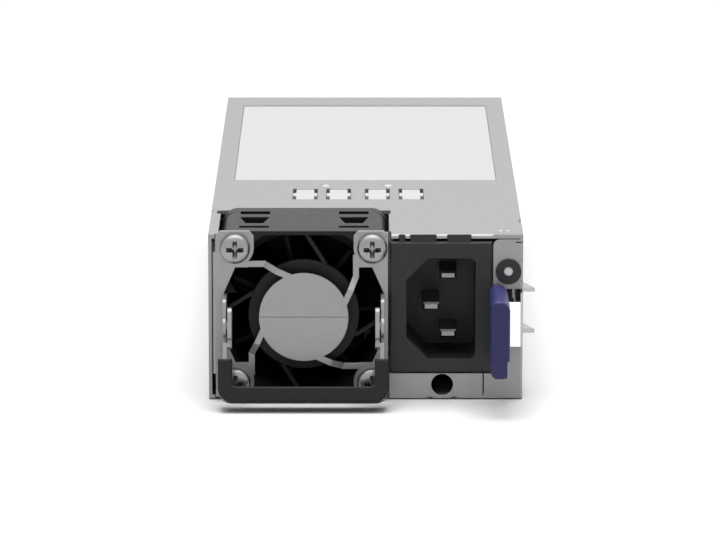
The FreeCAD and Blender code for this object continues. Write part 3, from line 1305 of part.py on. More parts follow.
def card_contacts():
    """Gold pads on both faces of the card edge."""
    rear = CASE_LENGTH + CARD_LENGTH - 3 * CARD_BEVEL
    lengths = (rear - CONTACT_LENGTH, rear)
    pitch = (CARD_WIDTH - CONTACT_WIDTH - CARD_BEVEL * 2) / (CONTACT_COUNT - 1)
    pads = []
    for index in range(CONTACT_COUNT):
        xs = around((index - (CONTACT_COUNT - 1) / 2) * pitch, CONTACT_WIDTH)
        pads.append(box(xs, lengths, (BOARD_TOP, BOARD_TOP + CONTACT_THICKNESS)))
        pads.append(box(xs, lengths, (BOARD_LOW - CONTACT_THICKNESS, BOARD_LOW)))
    return Part.makeCompound(pads)


def board_standoffs():
    posts = []
    for x, y in standoff_places():
        posts.append(tube((x, y, SHEET), Z_AXIS, STANDOFF_DIAMETER, BOARD_SCREW, STANDOFF_HEIGHT))
    return Part.makeCompound(posts)


def board_screws():
    screws = []
    for x, y in standoff_places():
        length = BOARD_SHEET + BOARD_SCREW_REACH
        shank = rod((x, y, BOARD_TOP - length), Z_AXIS, BOARD_SCREW, length)
        head = rod((x, y, BOARD_TOP), Z_AXIS, BOARD_SCREW_HEAD, BOARD_SCREW_HEAD_HEIGHT)
        screws.append(join([shank, head]))
    return Part.makeCompound(screws)


def board_insulator():
    sheet = box((-BOARD_HALF, BOARD_HALF), (BOARD_FRONT, BOARD_REAR), (SHEET, SHEET + INSULATOR_SHEET))
    return cut_all(sheet, board_holes(SHEET, STANDOFF_DIAMETER, INSULATOR_SHEET))


def filter_board():
    """The upright board behind the inlet; the blades' tails pass through it."""
    xs = (BOARD_STEP_X, FILTER_BOARD_RIGHT)
    board = box(xs, (FILTER_FRONT, FILTER_REAR), (BOARD_LOW, FILTER_BOARD_TOP))
    tools = []
    for x, z, setback in blade_places().values():
        tools.append(box(around(x, TAIL_WIDE), (FILTER_FRONT, FILTER_REAR), around(z, TAIL_TALL)))
    return cut_all(board, tools)


def mains_fuse():
    x = FILTER_BOARD_RIGHT - FUSE_DIAMETER / 2 - SEAM_GAP
    low = FILTER_BOARD_TOP - FUSE_LENGTH - PART_GAP
    return rod((x, FILTER_REAR + FUSE_DIAMETER / 2, low), Z_AXIS, FUSE_DIAMETER, FUSE_LENGTH)


def earth_capacitors():
    """Two discs, one above the other, on the rear of the filter board."""
    blade_x = blade_places()["inlet_blade_earth"][0]
    x = blade_x - (TAIL_WIDE + PART_GAP + Y_CAP_DIAMETER) / 2
    low = BOARD_TOP + X_CAP_HEIGHT + Y_CAP_DIAMETER / 2 + SEAM_GAP
    high = low + Y_CAP_DIAMETER + SEAM_GAP
    discs = [rod((x, FILTER_REAR, z), Y_AXIS, Y_CAP_DIAMETER, Y_CAP_THICKNESS) for z in (low, high)]
    return Part.makeCompound(discs)


# ---------------------------------------------------------------- power components


def standing_block(centre_x, front, size):
    """A box that stands on the main board."""
    return box(around(centre_x, size[0]), (front, front + size[1]), (BOARD_TOP, BOARD_TOP + size[2]))


def line_capacitor():
    xs = (BOARD_STEP_X + X_CAP_MARGIN, FILTER_BOARD_RIGHT - FUSE_DIAMETER - PART_GAP)
    ys = (X_CAP_FRONT, X_CAP_FRONT + X_CAP_DEPTH)
    return box(xs, ys, (BOARD_TOP, BOARD_TOP + X_CAP_HEIGHT))


def ring_centre_z(outer):
    """The height of a ring choke's centre above its base."""
    return BOARD_TOP + CHOKE_BASE + outer / 2


def ring_core(centre_x, front, outer, inner, length):
    """A ferrite ring whose axis runs front to rear, inside its winding."""
    centre = (centre_x, front + WIRE_BUILD, ring_centre_z(outer))
    return tube(centre, Y_AXIS, outer - 2 * WIRE_BUILD, inner + 2 * WIRE_BUILD, length - 2 * WIRE_BUILD)


def ring_winding(centre_x, front, outer, inner, length):
    """The copper round a ring, in two halves with a gap between them at top and bottom."""
    z = ring_centre_z(outer)
    whole = tube((centre_x, front, z), Y_AXIS, outer, inner, length)
    whole = whole.cut(ring_core(centre_x, front, outer, inner, length))
    gap = box(around(centre_x, 2 * WIRE_BUILD), (front, front + length), around(z, outer))
    halves = whole.cut(gap)
    return Part.makeCompound(halves.Solids)


def ring_base(centre_x, front, outer, length):
    """The plastic foot that carries a ring: a plate with a trough."""
    zs = (BOARD_TOP, BOARD_TOP + 2 * CHOKE_BASE)
    foot = box(around(centre_x, outer * 0.6), (front, front + length), zs)
    return foot.cut(rod((centre_x, front, ring_centre_z(outer)), Y_AXIS, outer, length))


def filter_chokes():
    """The centre and front of the two common mode chokes."""
    return ((RIGHT_LANE, CHOKE_FRONT), (LEFT_LANE, LEFT_CHOKE_FRONT))


def filter_choke_cores():
    size = (CHOKE_OUTER, CHOKE_INNER, CHOKE_LENGTH)
    return Part.makeCompound([ring_core(x, y, *size) for x, y in filter_chokes()])


def filter_choke_windings():
    size = (CHOKE_OUTER, CHOKE_INNER, CHOKE_LENGTH)
    return Part.makeCompound([ring_winding(x, y, *size) for x, y in filter_chokes()])


def choke_bases():
    bases = [ring_base(x, y, CHOKE_OUTER, CHOKE_LENGTH) for x, y in filter_chokes()]
    bases.append(ring_base(LEFT_LANE, PFC_FRONT, PFC_CHOKE_OUTER, PFC_CHOKE_LENGTH))
    return Part.makeCompound(bases)


def boost_choke_core():
    return ring_core(LEFT_LANE, PFC_FRONT, PFC_CHOKE_OUTER, PFC_CHOKE_INNER, PFC_CHOKE_LENGTH)


def boost_choke_winding():
    return ring_winding(LEFT_LANE, PFC_FRONT, PFC_CHOKE_OUTER, PFC_CHOKE_INNER, PFC_CHOKE_LENGTH)


def inrush_relay():
    xs = (SINK_SHEET / 2 + BRIDGE_SIZE[0] + PART_GAP, RIGHT_LANE + (CHOKE_OUTER - PART_GAP) / 2)
    ys = (RELAY_FRONT, RELAY_FRONT + RELAY_DEPTH)
    return box(xs, ys, (BOARD_TOP, BOARD_TOP + RELAY_HEIGHT))


def bulk_capacitors():
    z = BOARD_TOP + BULK_DIAMETER / 2
    cans = []
    for side in (-1, 1):
        can = rod((side * BULK_X, BULK_FRONT, z), Y_AXIS, BULK_DIAMETER, BULK_LENGTH)
        cans.append(round_edges(can, PART_GAP / 2, lambda edge: isinstance(edge.Curve, Part.Circle)))
    return Part.makeCompound(cans)


def power_heat_sink():
    ys = (RELAY_FRONT, BULK_REAR)
    return box(around(0, SINK_SHEET), ys, (BOARD_TOP, BOARD_TOP + SINK_HEIGHT))


def power_transistors():
    """Flat devices on both faces of the heat sink."""
    pitch = BULK_LENGTH / DEVICE_COUNT
    zs = (BOARD_TOP + DEVICE_LIFT, BOARD_TOP + DEVICE_LIFT + DEVICE_HEIGHT)
    devices = []
    for side in (-1, 1):
        xs = around(side * (SINK_SHEET + DEVICE_THICKNESS) / 2, DEVICE_THICKNESS)
        for index in range(DEVICE_COUNT):
            start = BULK_FRONT + index * pitch
            devices.append(box(xs, (start, start + pitch - DEVICE_GAP), zs))
    return Part.makeCompound(devices)


def bridge_rectifier():
    width, depth, height = BRIDGE_SIZE
    low = BOARD_TOP + DEVICE_LIFT
    xs = (SINK_SHEET / 2, SINK_SHEET / 2 + width)
    return box(xs, (RELAY_FRONT, RELAY_FRONT + depth), (low, low + height))


def transformer_window(side, depth):
    """One of the two spaces in the transformer's core."""
    leg = TRANSFORMER_LEG
    width = (TRANSFORMER_SIZE[0] - 2 * leg) / 2 - leg / 2
    centre = LEFT_LANE + side * (leg + width) / 2
    zs = (BOARD_TOP + leg / 2, BOARD_TOP + TRANSFORMER_SIZE[2] - leg / 2)
    middle = (TRANSFORMER_FRONT + TRANSFORMER_REAR) / 2
    return box(around(centre, width), around(middle, depth), zs)


def transformer_core():
    middle = (TRANSFORMER_FRONT + TRANSFORMER_REAR) / 2
    block = standing_block(LEFT_LANE, middle - TRANSFORMER_SIZE[1] / 2, TRANSFORMER_SIZE)
    return block.cut([transformer_window(side, TRANSFORMER_SIZE[1]) for side in (-1, 1)])


def transformer_winding():
    """The taped winding, which fills the core's windows and stands out front and rear."""
    leg = TRANSFORMER_LEG
    middle = (TRANSFORMER_FRONT + TRANSFORMER_REAR) / 2
    width = TRANSFORMER_SIZE[0] - 2 * leg
    zs = (BOARD_TOP + leg / 2, BOARD_TOP + TRANSFORMER_SIZE[2] - leg / 2)
    whole = box(around(LEFT_LANE, width), around(middle, WINDING_DEPTH), zs)
    return whole.cut(box(around(LEFT_LANE, leg), around(middle, TRANSFORMER_SIZE[1]), zs))


def resonant_choke():
    block = standing_block(RIGHT_LANE, TRANSFORMER_FRONT, RESONANT_SIZE)
    return round_edges(block, PART_GAP / 2, lambda edge: runs_along(edge, Z_AXIS))


def standby_transformer():
    return standing_block(RIGHT_LANE, STANDBY_FRONT, STANDBY_SIZE)


def output_heat_sink():
    width, depth, height = OUTPUT_SINK_SIZE
    base = standing_block(LEFT_LANE, OUTPUT_SINK_FRONT, (width, depth, OUTPUT_SINK_BASE))
    pitch = (width - OUTPUT_SINK_FIN) / (OUTPUT_SINK_FINS - 1)
    fins = []
    for index in range(OUTPUT_SINK_FINS):
        x = LEFT_LANE + (index - (OUTPUT_SINK_FINS - 1) / 2) * pitch
        fins.append(standing_block(x, OUTPUT_SINK_FRONT, (OUTPUT_SINK_FIN, depth, height)))
    return join([base] + fins)


def output_capacitors():
    cans = []
    for row in range(OUTPUT_CAP_ROWS):
        y = OUTPUT_CAP_FRONT + OUTPUT_CAP_DIAMETER / 2 + row * OUTPUT_CAP_PITCH
        for column in range(OUTPUT_CAP_COLUMNS):
            x = LEFT_LANE + (column - (OUTPUT_CAP_COLUMNS - 1) / 2) * OUTPUT_CAP_PITCH
            cans.append(rod((x, y, BOARD_TOP), Z_AXIS, OUTPUT_CAP_DIAMETER, OUTPUT_CAP_HEIGHT))
    return Part.makeCompound(cans)


def bus_bars():
    start = RIGHT_LANE - BUS_BAR_PITCH / 2
    front = OUTPUT_SINK_FRONT + STANDBY_SIZE[1] / 2
    places = (start - BUS_BAR_PITCH / 2, start + BUS_BAR_PITCH / 2)
    return Part.makeCompound([standing_block(x, front, BUS_BAR_SIZE) for x in places])


def control_board():
    xs = (CONTROL_BOARD_LEFT, CONTROL_BOARD_RIGHT)
    ys = (CONTROL_BOARD_FRONT, CONTROL_BOARD_REAR)
    return box(xs, ys, (BOARD_TOP, BOARD_TOP + CONTROL_BOARD_HEIGHT))


def control_chips():
    xs = (CONTROL_BOARD_LEFT - CHIP_SIZE[0], CONTROL_BOARD_LEFT)
    pitch = CONTROL_BOARD_LENGTH / CHIP_COUNT
    chips = []
    for index in range(CHIP_COUNT):
        y = CONTROL_BOARD_FRONT + (index + 0.5) * pitch
        z = BOARD_TOP + CONTROL_BOARD_HEIGHT / 2
        chips.append(box(xs, around(y, CHIP_SIZE[1]), around(z, CHIP_SIZE[2])))
    return Part.makeCompound(chips)


# ---------------------------------------------------------------- fan lead


def lead_places():
    """The X of each lead, in the solid corner of the fan's rear flange."""
    outer = FAN_RIGHT - LEAD_IN
    return [outer + (index - (LEAD_COUNT - 1) / 2) * LEAD_PITCH for index in range(LEAD_COUNT)]


def fan_lead():
    z = FAN_Z - LEAD_DROP
    leads = [rod((x, FAN_REAR, z), Y_AXIS, LEAD_DIAMETER, LEAD_EXPOSED) for x in lead_places()]
    return Part.makeCompound(leads)


def fan_plug():
    xs = around(FAN_RIGHT - LEAD_IN, HEADER_SIZE[0])
    return box(xs, (PLUG_FRONT, HEADER_FRONT), (BOARD_TOP + SEAM_GAP, BOARD_TOP + HEADER_SIZE[2] - SEAM_GAP))


def fan_header():
    xs = around(FAN_RIGHT - LEAD_IN, HEADER_SIZE[0])
    return box(xs, (HEADER_FRONT, HEADER_FRONT + HEADER_SIZE[1]), (BOARD_TOP, BOARD_TOP + HEADER_SIZE[2]))


# ---------------------------------------------------------------- all pieces

PIECES = {
    "chassis_tray": chassis_tray,
    "top_cover": top_cover,
    "rating_label": rating_label,
    "cover_rivets": cover_rivets,
    "cover_film": cover_film,
    "rear_panel": rear_panel,
    "fan_guard_plate": fan_guard_plate,
    "fan_screws": fan_screws,
    "fan_frame": fan_frame,
    "fan_bearing": fan_bearing,
    "fan_stator": fan_stator,
    "fan_impeller": fan_impeller,
    "fan_magnet": fan_magnet,
    "fan_shaft": fan_shaft,
    "fan_header": fan_header,
    "fan_plug": fan_plug,
    "fan_lead": fan_lead,
    "handle_bail": handle_bail,
    "handle_grip": handle_grip,
    "handle_pivots": handle_pivots,
    "inlet_housing": inlet_housing,
    "light_bezel": light_bezel,
    "light_lens": light_lens,
    "latch_leaf": latch_leaf,
    "release_tab": release_tab,
    "latch_pocket": latch_pocket,
    "latch_anchor": latch_anchor,
    "anchor_rivets": anchor_rivets,
    "main_board": main_board,
    "card_contacts": card_contacts,
    "board_standoffs": board_standoffs,
    "board_screws": board_screws,
    "board_insulator": board_insulator,
    "filter_board": filter_board,
    "mains_fuse": mains_fuse,
    "earth_capacitors": earth_capacitors,
    "line_capacitor": line_capacitor,
    "filter_choke_cores": filter_choke_cores,
    "filter_choke_windings": filter_choke_windings,
    "choke_bases": choke_bases,
    "boost_choke_core": boost_choke_core,
    "boost_choke_winding": boost_choke_winding,
    "inrush_relay": inrush_relay,
    "bulk_capacitors": bulk_capacitors,
    "power_heat_sink": power_heat_sink,
    "power_transistors": power_transistors,
    "bridge_rectifier": bridge_rectifier,
    "transformer_core": transformer_core,
    "transformer_winding": transformer_winding,
    "resonant_choke": resonant_choke,
    "standby_transformer": standby_transformer,
    "output_heat_sink": output_heat_sink,
    "output_capacitors": output_capacitors,
    "bus_bars": bus_bars,
    "control_board": control_board,
    "control_chips": control_chips,
}


def main():
    os.makedirs("parts", exist_ok=True)
    shapes = {name: make() for name, make in PIECES.items()}
    for name in blade_places():
        shapes[name] = inlet_blade(name)
    for name, shape in shapes.items():
        shape.exportStep("parts/" + name + ".step")


main()
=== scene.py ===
"""Looks of a hot swap server power supply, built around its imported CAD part."""

import json
import math

import bmesh
import bpy
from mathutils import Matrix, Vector


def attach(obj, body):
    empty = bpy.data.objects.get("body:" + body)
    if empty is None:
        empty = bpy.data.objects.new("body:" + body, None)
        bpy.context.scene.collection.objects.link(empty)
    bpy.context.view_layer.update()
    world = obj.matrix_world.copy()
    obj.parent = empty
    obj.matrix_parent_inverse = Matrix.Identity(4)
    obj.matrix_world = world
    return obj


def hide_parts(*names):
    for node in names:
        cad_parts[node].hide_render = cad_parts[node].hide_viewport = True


MM = 0.001

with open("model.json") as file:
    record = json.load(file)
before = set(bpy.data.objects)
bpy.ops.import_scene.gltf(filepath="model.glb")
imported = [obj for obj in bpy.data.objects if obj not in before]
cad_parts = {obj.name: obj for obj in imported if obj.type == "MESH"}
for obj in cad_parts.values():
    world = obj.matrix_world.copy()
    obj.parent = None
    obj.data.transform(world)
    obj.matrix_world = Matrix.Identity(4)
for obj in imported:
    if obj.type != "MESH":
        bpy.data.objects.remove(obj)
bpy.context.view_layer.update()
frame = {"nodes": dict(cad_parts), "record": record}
nodes = frame["nodes"]
record = frame["record"]


# ---------------------------------------------------------------- camera, light and floor

CAMERA_TARGET = Vector((-1.80 * MM, 0.0, 31.1 * MM))
CAMERA_ELEVATION = math.radians(11.9)
CAMERA_DISTANCE = 1.165
CAMERA_LENS = 251.0
CAMERA_SENSOR = 36.0
CAMERA_CLIP = (0.05, 100.0)
FLOOR_SIZE = 30.0
FLOOR_DROP = 0.3 * MM
FLOOR_ALBEDO = 0.50
FLOOR_SHOWN = 1.05
FLOOR_FADE = (0.35, 0.80)
WORLD_STRENGTH = 0.16
WHITE_SURROUND = 1.0
LAMP_PLACE = (0.0, 0.1, 1.5)
LAMPS = {"softbox": (2.4, 13.0), "key": (1.0, 17.5)}
WHITE = (1.0, 1.0, 1.0, 1.0)

# The front flange of the latch leaf, painted near white as a painted highlight brighter than the leaf, lies
# in front of and left of these planes.
FLANGE_REAR = -1.5 * MM
FLANGE_RIGHT = 36.1 * MM
LEAF_LEVEL = 0.42
FLANGE_PAINTED_HIGHLIGHT = 0.98

SCREW_HEAD_RADIUS = 3.49 * MM
SCREW_HEAD_HEIGHT = 2.59 * MM
SCREW_SHANK_RADIUS = 2.1 * MM
THREAD_PITCH = 0.9 * MM
THREAD_DEPTH = 0.35 * MM
# Reach and half width of the cross recess at the face and at its bottom.
CROSS_TOP = (2.45 * MM, 0.62 * MM)
CROSS_BOTTOM = (0.75 * MM, 0.22 * MM)
CROSS_DEPTH = 2.1 * MM
LATHE_STEPS = 72
# Shares of the head's radius and height along its domed edge.
HEAD_DOME = ((0.45, 0.03), (0.70, 0.11), (0.86, 0.22), (0.95, 0.36), (1.0, 0.55), (1.0, 0.90))
HEAD_SEAT = 0.97
THREAD_START = 0.1 * MM
CUTTER_LEAD = 0.4 * MM


def make_camera():
    data = bpy.data.cameras.new("camera")
    data.lens = CAMERA_LENS
    data.sensor_width = CAMERA_SENSOR
    data.clip_start, data.clip_end = CAMERA_CLIP
    camera = bpy.data.objects.new("camera", data)
    bpy.context.scene.collection.objects.link(camera)
    back = Vector((0.0, -math.cos(CAMERA_ELEVATION), math.sin(CAMERA_ELEVATION)))
    camera.location = CAMERA_TARGET + CAMERA_DISTANCE * back
    camera.rotation_euler = (math.pi / 2 - CAMERA_ELEVATION, 0.0, 0.0)
    bpy.context.scene.camera = camera


def seen_directly(tree):
    """1 for what the camera sees by itself, in a shiny face or through a clear one, else 0."""
    path = tree.nodes.new("ShaderNodeLightPath")
    total = path.outputs["Is Camera Ray"]
    for kind in ("Is Glossy Ray", "Is Transmission Ray"):
        add = tree.nodes.new("ShaderNodeMath")
        add.operation = "ADD"
        add.use_clamp = True
        tree.links.new(total, add.inputs[0])
        tree.links.new(path.outputs[kind], add.inputs[1])
        total = add.outputs[0]
    return total


def make_world():
    world = bpy.data.worlds.new("studio")
    world.use_nodes = True
    tree = world.node_tree
    background = tree.nodes["Background"]
    background.inputs["Color"].default_value = WHITE
    strength = tree.nodes.new("ShaderNodeMapRange")
    strength.inputs["To Min"].default_value = WORLD_STRENGTH
    strength.inputs["To Max"].default_value = WHITE_SURROUND
    tree.links.new(seen_directly(tree), strength.inputs["Value"])
    tree.links.new(strength.outputs["Result"], background.inputs["Strength"])
    bpy.context.scene.world = world


def make_lights():
    """Two square lamps above the object, each given by its side and its power."""
    for name, (size, power) in LAMPS.items():
        data = bpy.data.lights.new(name, "AREA")
        data.size = size
        data.energy = power
        lamp = bpy.data.objects.new(name, data)
        lamp.location = LAMP_PLACE
        bpy.context.scene.collection.objects.link(lamp)


def diffuse(tree, albedo):
    node = tree.nodes.new("ShaderNodeBsdfDiffuse")
    node.inputs["Color"].default_value = (albedo, albedo, albedo, 1.0)
    return node.outputs[0]


def mixed(tree, factor, first, second):
    node = tree.nodes.new("ShaderNodeMixShader")
    for socket, source in zip(node.inputs, (factor, first, second)):
        tree.links.new(source, socket)
    return node.outputs[0]


def paper_material():
    """White paper that shows the object's shadow near by and fades to plain white further off."""
    material = bpy.data.materials.new("floor_paper")
    material.use_nodes = True
    material.cycles.emission_sampling = "NONE"
    tree = material.node_tree
    tree.nodes.clear()
    far = tree.nodes.new("ShaderNodeEmission")
    far.inputs["Color"].default_value = WHITE
    far.inputs["Strength"].default_value = WHITE_SURROUND
    place = tree.nodes.new("ShaderNodeTexCoord")
    distance = tree.nodes.new("ShaderNodeVectorMath")
    distance.operation = "LENGTH"
    tree.links.new(place.outputs["Object"], distance.inputs[0])
    fade = tree.nodes.new("ShaderNodeMapRange")
    fade.inputs["From Min"].default_value, fade.inputs["From Max"].default_value = FLOOR_FADE
    tree.links.new(distance.outputs["Value"], fade.inputs["Value"])
    seen = mixed(tree, fade.outputs["Result"], diffuse(tree, FLOOR_SHOWN), far.outputs[0])
    whole = mixed(tree, seen_directly(tree), diffuse(tree, FLOOR_ALBEDO), seen)
    output = tree.nodes.new("ShaderNodeOutputMaterial")
    tree.links.new(whole, output.inputs["Surface"])
    return material


def make_floor():
    mesh = bpy.data.meshes.new("floor")
    half = FLOOR_SIZE / 2
    corners = [(-half, -half), (half, -half), (half, half), (-half, half)]
    corners = [(x, y, -FLOOR_DROP) for x, y in corners]
    mesh.from_pydata(corners, [], [(0, 1, 2, 3)])
    floor = bpy.data.objects.new("floor", mesh)
    bpy.context.scene.collection.objects.link(floor)
    mesh.materials.append(paper_material())


# ---------------------------------------------------------------- materials

class Tree:
    """A short way to write a material's nodes."""

    def __init__(self, name):
        self.material = bpy.data.materials.new(name)
        self.material.use_nodes = True
        self.tree = self.material.node_tree
        self.tree.nodes.clear()
        self.output = self.add("ShaderNodeOutputMaterial")
        self.shader = self.add("ShaderNodeBsdfPrincipled")
        self.link(self.shader.outputs[0], self.output.inputs["Surface"])
        self.place = self.add("ShaderNodeTexCoord").outputs["Object"]

    def add(self, kind, **values):
        node = self.tree.nodes.new(kind)
        for key, value in values.items():
            setattr(node, key, value)
        return node

    def link(self, source, target):
        self.tree.links.new(source, target)

    def put(self, source, target):
        """Sets a socket from another socket or from a plain value."""
        if isinstance(source, bpy.types.NodeSocket):
            self.link(source, target)
        else:
            target.default_value = source

    def stretched(self, scale):
        node = self.add("ShaderNodeMapping")
        self.link(self.place, node.inputs["Vector"])
        node.inputs["Scale"].default_value = scale
        return node.outputs[0]

    def noise(self, scale, detail=3.0, place=None, rough=0.5):
        node = self.add("ShaderNodeTexNoise")
        self.link(place or self.place, node.inputs["Vector"])
        node.inputs["Scale"].default_value = scale
        node.inputs["Detail"].default_value = detail
        node.inputs["Roughness"].default_value = rough
        return node.outputs["Fac"]

    def ramp(self, source, low, high, start=0.3, end=0.7):
        """Spreads the middle of a noise to the range from low to high."""
        node = self.add("ShaderNodeMapRange")
        self.link(source, node.inputs["Value"])
        node.inputs["From Min"].default_value = start
        node.inputs["From Max"].default_value = end
        node.inputs["To Min"].default_value = low
        node.inputs["To Max"].default_value = high
        return node.outputs["Result"]

    def math(self, operation, a, b=0.0, clamp=False):
        node = self.add("ShaderNodeMath", operation=operation, use_clamp=clamp)
        self.put(a, node.inputs[0])
        self.put(b, node.inputs[1])
        return node.outputs[0]

    def tint(self, colour, amount):
        """The colour made darker and lighter by a socket that runs around 1."""
        node = self.add("ShaderNodeVectorMath", operation="SCALE")
        self.put(tuple(colour[:3]), node.inputs[0])
        self.link(amount, node.inputs["Scale"])
        return node.outputs[0]

    def bump(self, height, distance, strength=1.0, normal=None):
        node = self.add("ShaderNodeBump")
        node.inputs["Strength"].default_value = strength
        node.inputs["Distance"].default_value = distance
        self.link(height, node.inputs["Height"])
        if normal is not None:
            self.link(normal, node.inputs["Normal"])
        return node.outputs[0]

    def soft_edges(self, radius):
        node = self.add("ShaderNodeBevel", samples=4)
        node.inputs["Radius"].default_value = radius
        return node.outputs[0]

    def edge_mask(self, normal):
        """1 on an edge, which is lightened partly for wear and partly as a painted highlight, and 0 on a
        flat face, from the softened normal.
        """
        true = self.add("ShaderNodeNewGeometry").outputs["Normal"]
        dot = self.add("ShaderNodeVectorMath", operation="DOT_PRODUCT")
        self.link(normal, dot.inputs[0])
        self.link(true, dot.inputs[1])
        return self.ramp(dot.outputs["Value"], 1.0, 0.0, *EDGE_COSINES)

    def set(self, **values):
        for key, value in values.items():
            self.put(value, self.shader.inputs[key.replace("_", " ")])


SHEET_EDGE = 0.25 * MM
METAL_EDGE = 0.12 * MM
LENS_EDGE = 0.3 * MM
FILM_EDGE = 0.05 * MM
# How much lighter sheet edges are made: partly wear, partly a painted highlight.
EDGE_WEAR_AND_PAINTED_HIGHLIGHT = 0.15
# How far the softened normal leans off the true one on an edge and on a flat face.
EDGE_COSINES = (0.72, 0.995)


def sheet_metal(name, colour, metallic, roughness):
    """Plain zinc-coated sheet: faint spangle, a rolled grain and edges made lighter, partly as sheared wear
    and partly as a painted highlight.
    """
    t = Tree(name)
    spangle = t.ramp(t.noise(380.0, 2.0), 0.975, 1.025)
    grain = t.ramp(t.noise(2600.0, 2.0, t.stretched((1.0, 0.12, 1.0))), 0.985, 1.015)
    normal = t.soft_edges(SHEET_EDGE)
    # Lighter edges: partly wear, partly a painted highlight.
    wear_and_highlight = t.math("MULTIPLY", t.edge_mask(normal), EDGE_WEAR_AND_PAINTED_HIGHLIGHT)
    level = t.math("ADD", t.math("MULTIPLY", spangle, grain), wear_and_highlight)
    fine = t.noise(5200.0, 2.0)
    t.set(Base_Color=t.tint(colour, level), Metallic=metallic)
    t.set(Roughness=t.ramp(t.noise(900.0, 3.0), roughness - 0.04, roughness + 0.05))
    t.set(Normal=t.bump(fine, 0.004 * MM, 0.35, normal))
    return t.material


def moulded(name, colour, roughness, radius=0.3, edge=0.0, level=0.5):
    """Moulded plastic with a fine spark-eroded texture; edge is how much lighter its edges are, partly as
    wear and partly as a painted highlight.
    """
    t = Tree(name)
    normal = t.soft_edges(radius * MM)
    cloud = t.ramp(t.noise(260.0, 2.0), 0.96, 1.04)
    # Lighter edges: partly wear, partly a painted highlight.
    wear_and_highlight = t.math("MULTIPLY", t.edge_mask(normal), edge)
    t.set(Base_Color=t.tint(colour, t.math("ADD", cloud, wear_and_highlight)))
    t.set(Roughness=t.ramp(t.noise(1500.0, 3.0), roughness - 0.05, roughness + 0.05))
    t.set(Normal=t.bump(t.noise(3400.0, 2.0), 0.006 * MM, 0.6, normal), Specular_IOR_Level=level)
    return t.material


def plain_metal(name, colour, roughness, metallic=1.0):
    """Bare or plated metal with faint streaks in its colour and its polish."""
    t = Tree(name)
    normal = t.soft_edges(METAL_EDGE)
    t.set(Base_Color=t.tint(colour, t.ramp(t.noise(1400.0, 3.0), 0.94, 1.06)), Metallic=metallic)
    t.set(Roughness=t.ramp(t.noise(2100.0, 3.0), roughness - 0.05, roughness + 0.07))
    t.set(Normal=t.bump(t.noise(4200.0, 2.0), 0.003 * MM, 0.4, normal))
    return t.material


def printed_film(name, colour):
    """A smooth printed film with a satin face and hardly any variation."""
    t = Tree(name)
    t.set(Base_Color=t.tint(colour, t.ramp(t.noise(120.0, 2.0), 0.995, 1.005)))
    t.set(Roughness=t.ramp(t.noise(900.0, 2.0), 0.47, 0.53), Specular_IOR_Level=0.3)
    t.set(Normal=t.bump(t.noise(2600.0, 2.0), 0.0008 * MM, 0.3, t.soft_edges(FILM_EDGE)))
    return t.material


def latch_steel(name):
    """Spring steel whose bent front flange is painted near white, a painted highlight, and whose leaf and
    teeth are plain.
    """
    t = Tree(name)
    normal = t.soft_edges(METAL_EDGE)
    axes = t.add("ShaderNodeSeparateXYZ")
    t.link(t.place, axes.inputs[0])
    # The flange area in front of and left of these planes gets a near-white colour, a painted highlight.
    front = t.math("LESS_THAN", axes.outputs["Y"], FLANGE_REAR)
    flange = t.math("MULTIPLY", front, t.math("LESS_THAN", axes.outputs["X"], FLANGE_RIGHT))
    level = t.math("ADD", LEAF_LEVEL, t.math("MULTIPLY", flange, FLANGE_PAINTED_HIGHLIGHT - LEAF_LEVEL))
    level = t.math("MULTIPLY", level, t.ramp(t.noise(1400.0, 3.0), 0.98, 1.02))
    t.set(Base_Color=t.tint((1.0, 1.0, 1.0), level), Metallic=1.0)
    t.set(Roughness=0.16, Normal=t.bump(t.noise(4200.0, 2.0), 0.0015 * MM, 0.4, normal))
    return t.material


def lens_material(name):
    """The milky end of a light guide."""
    t = Tree(name)
    t.set(Base_Color=(0.97, 0.97, 0.97, 1.0), Roughness=0.30)
    t.set(IOR=1.9, Specular_IOR_Level=1.0, Coat_Weight=1.0)
    t.set(Normal=t.bump(t.noise(1800.0, 2.0), 0.03 * MM, 0.5, t.soft_edges(LENS_EDGE)))
    return t.material


def board_material(name):
    """Green solder mask with tracks that run in steps under it."""
    t = Tree(name)
    bricks = t.add("ShaderNodeTexBrick")
    t.link(t.place, bricks.inputs["Vector"])
    bricks.inputs["Scale"].default_value = 90.0
    bricks.inputs["Color1"].default_value = (0.010, 0.085, 0.030, 1.0)
    bricks.inputs["Color2"].default_value = (0.012, 0.105, 0.036, 1.0)
    bricks.inputs["Mortar"].default_value = (0.006, 0.050, 0.020, 1.0)
    bricks.inputs["Mortar Size"].default_value = 0.06
    t.set(Base_Color=bricks.outputs["Color"], Roughness=t.ramp(t.noise(1200.0), 0.28, 0.40))
    t.set(Normal=t.bump(bricks.outputs["Fac"], 0.02 * MM, 0.4))
    return t.material


SMOOTH_ANGLE = math.radians(30.0)

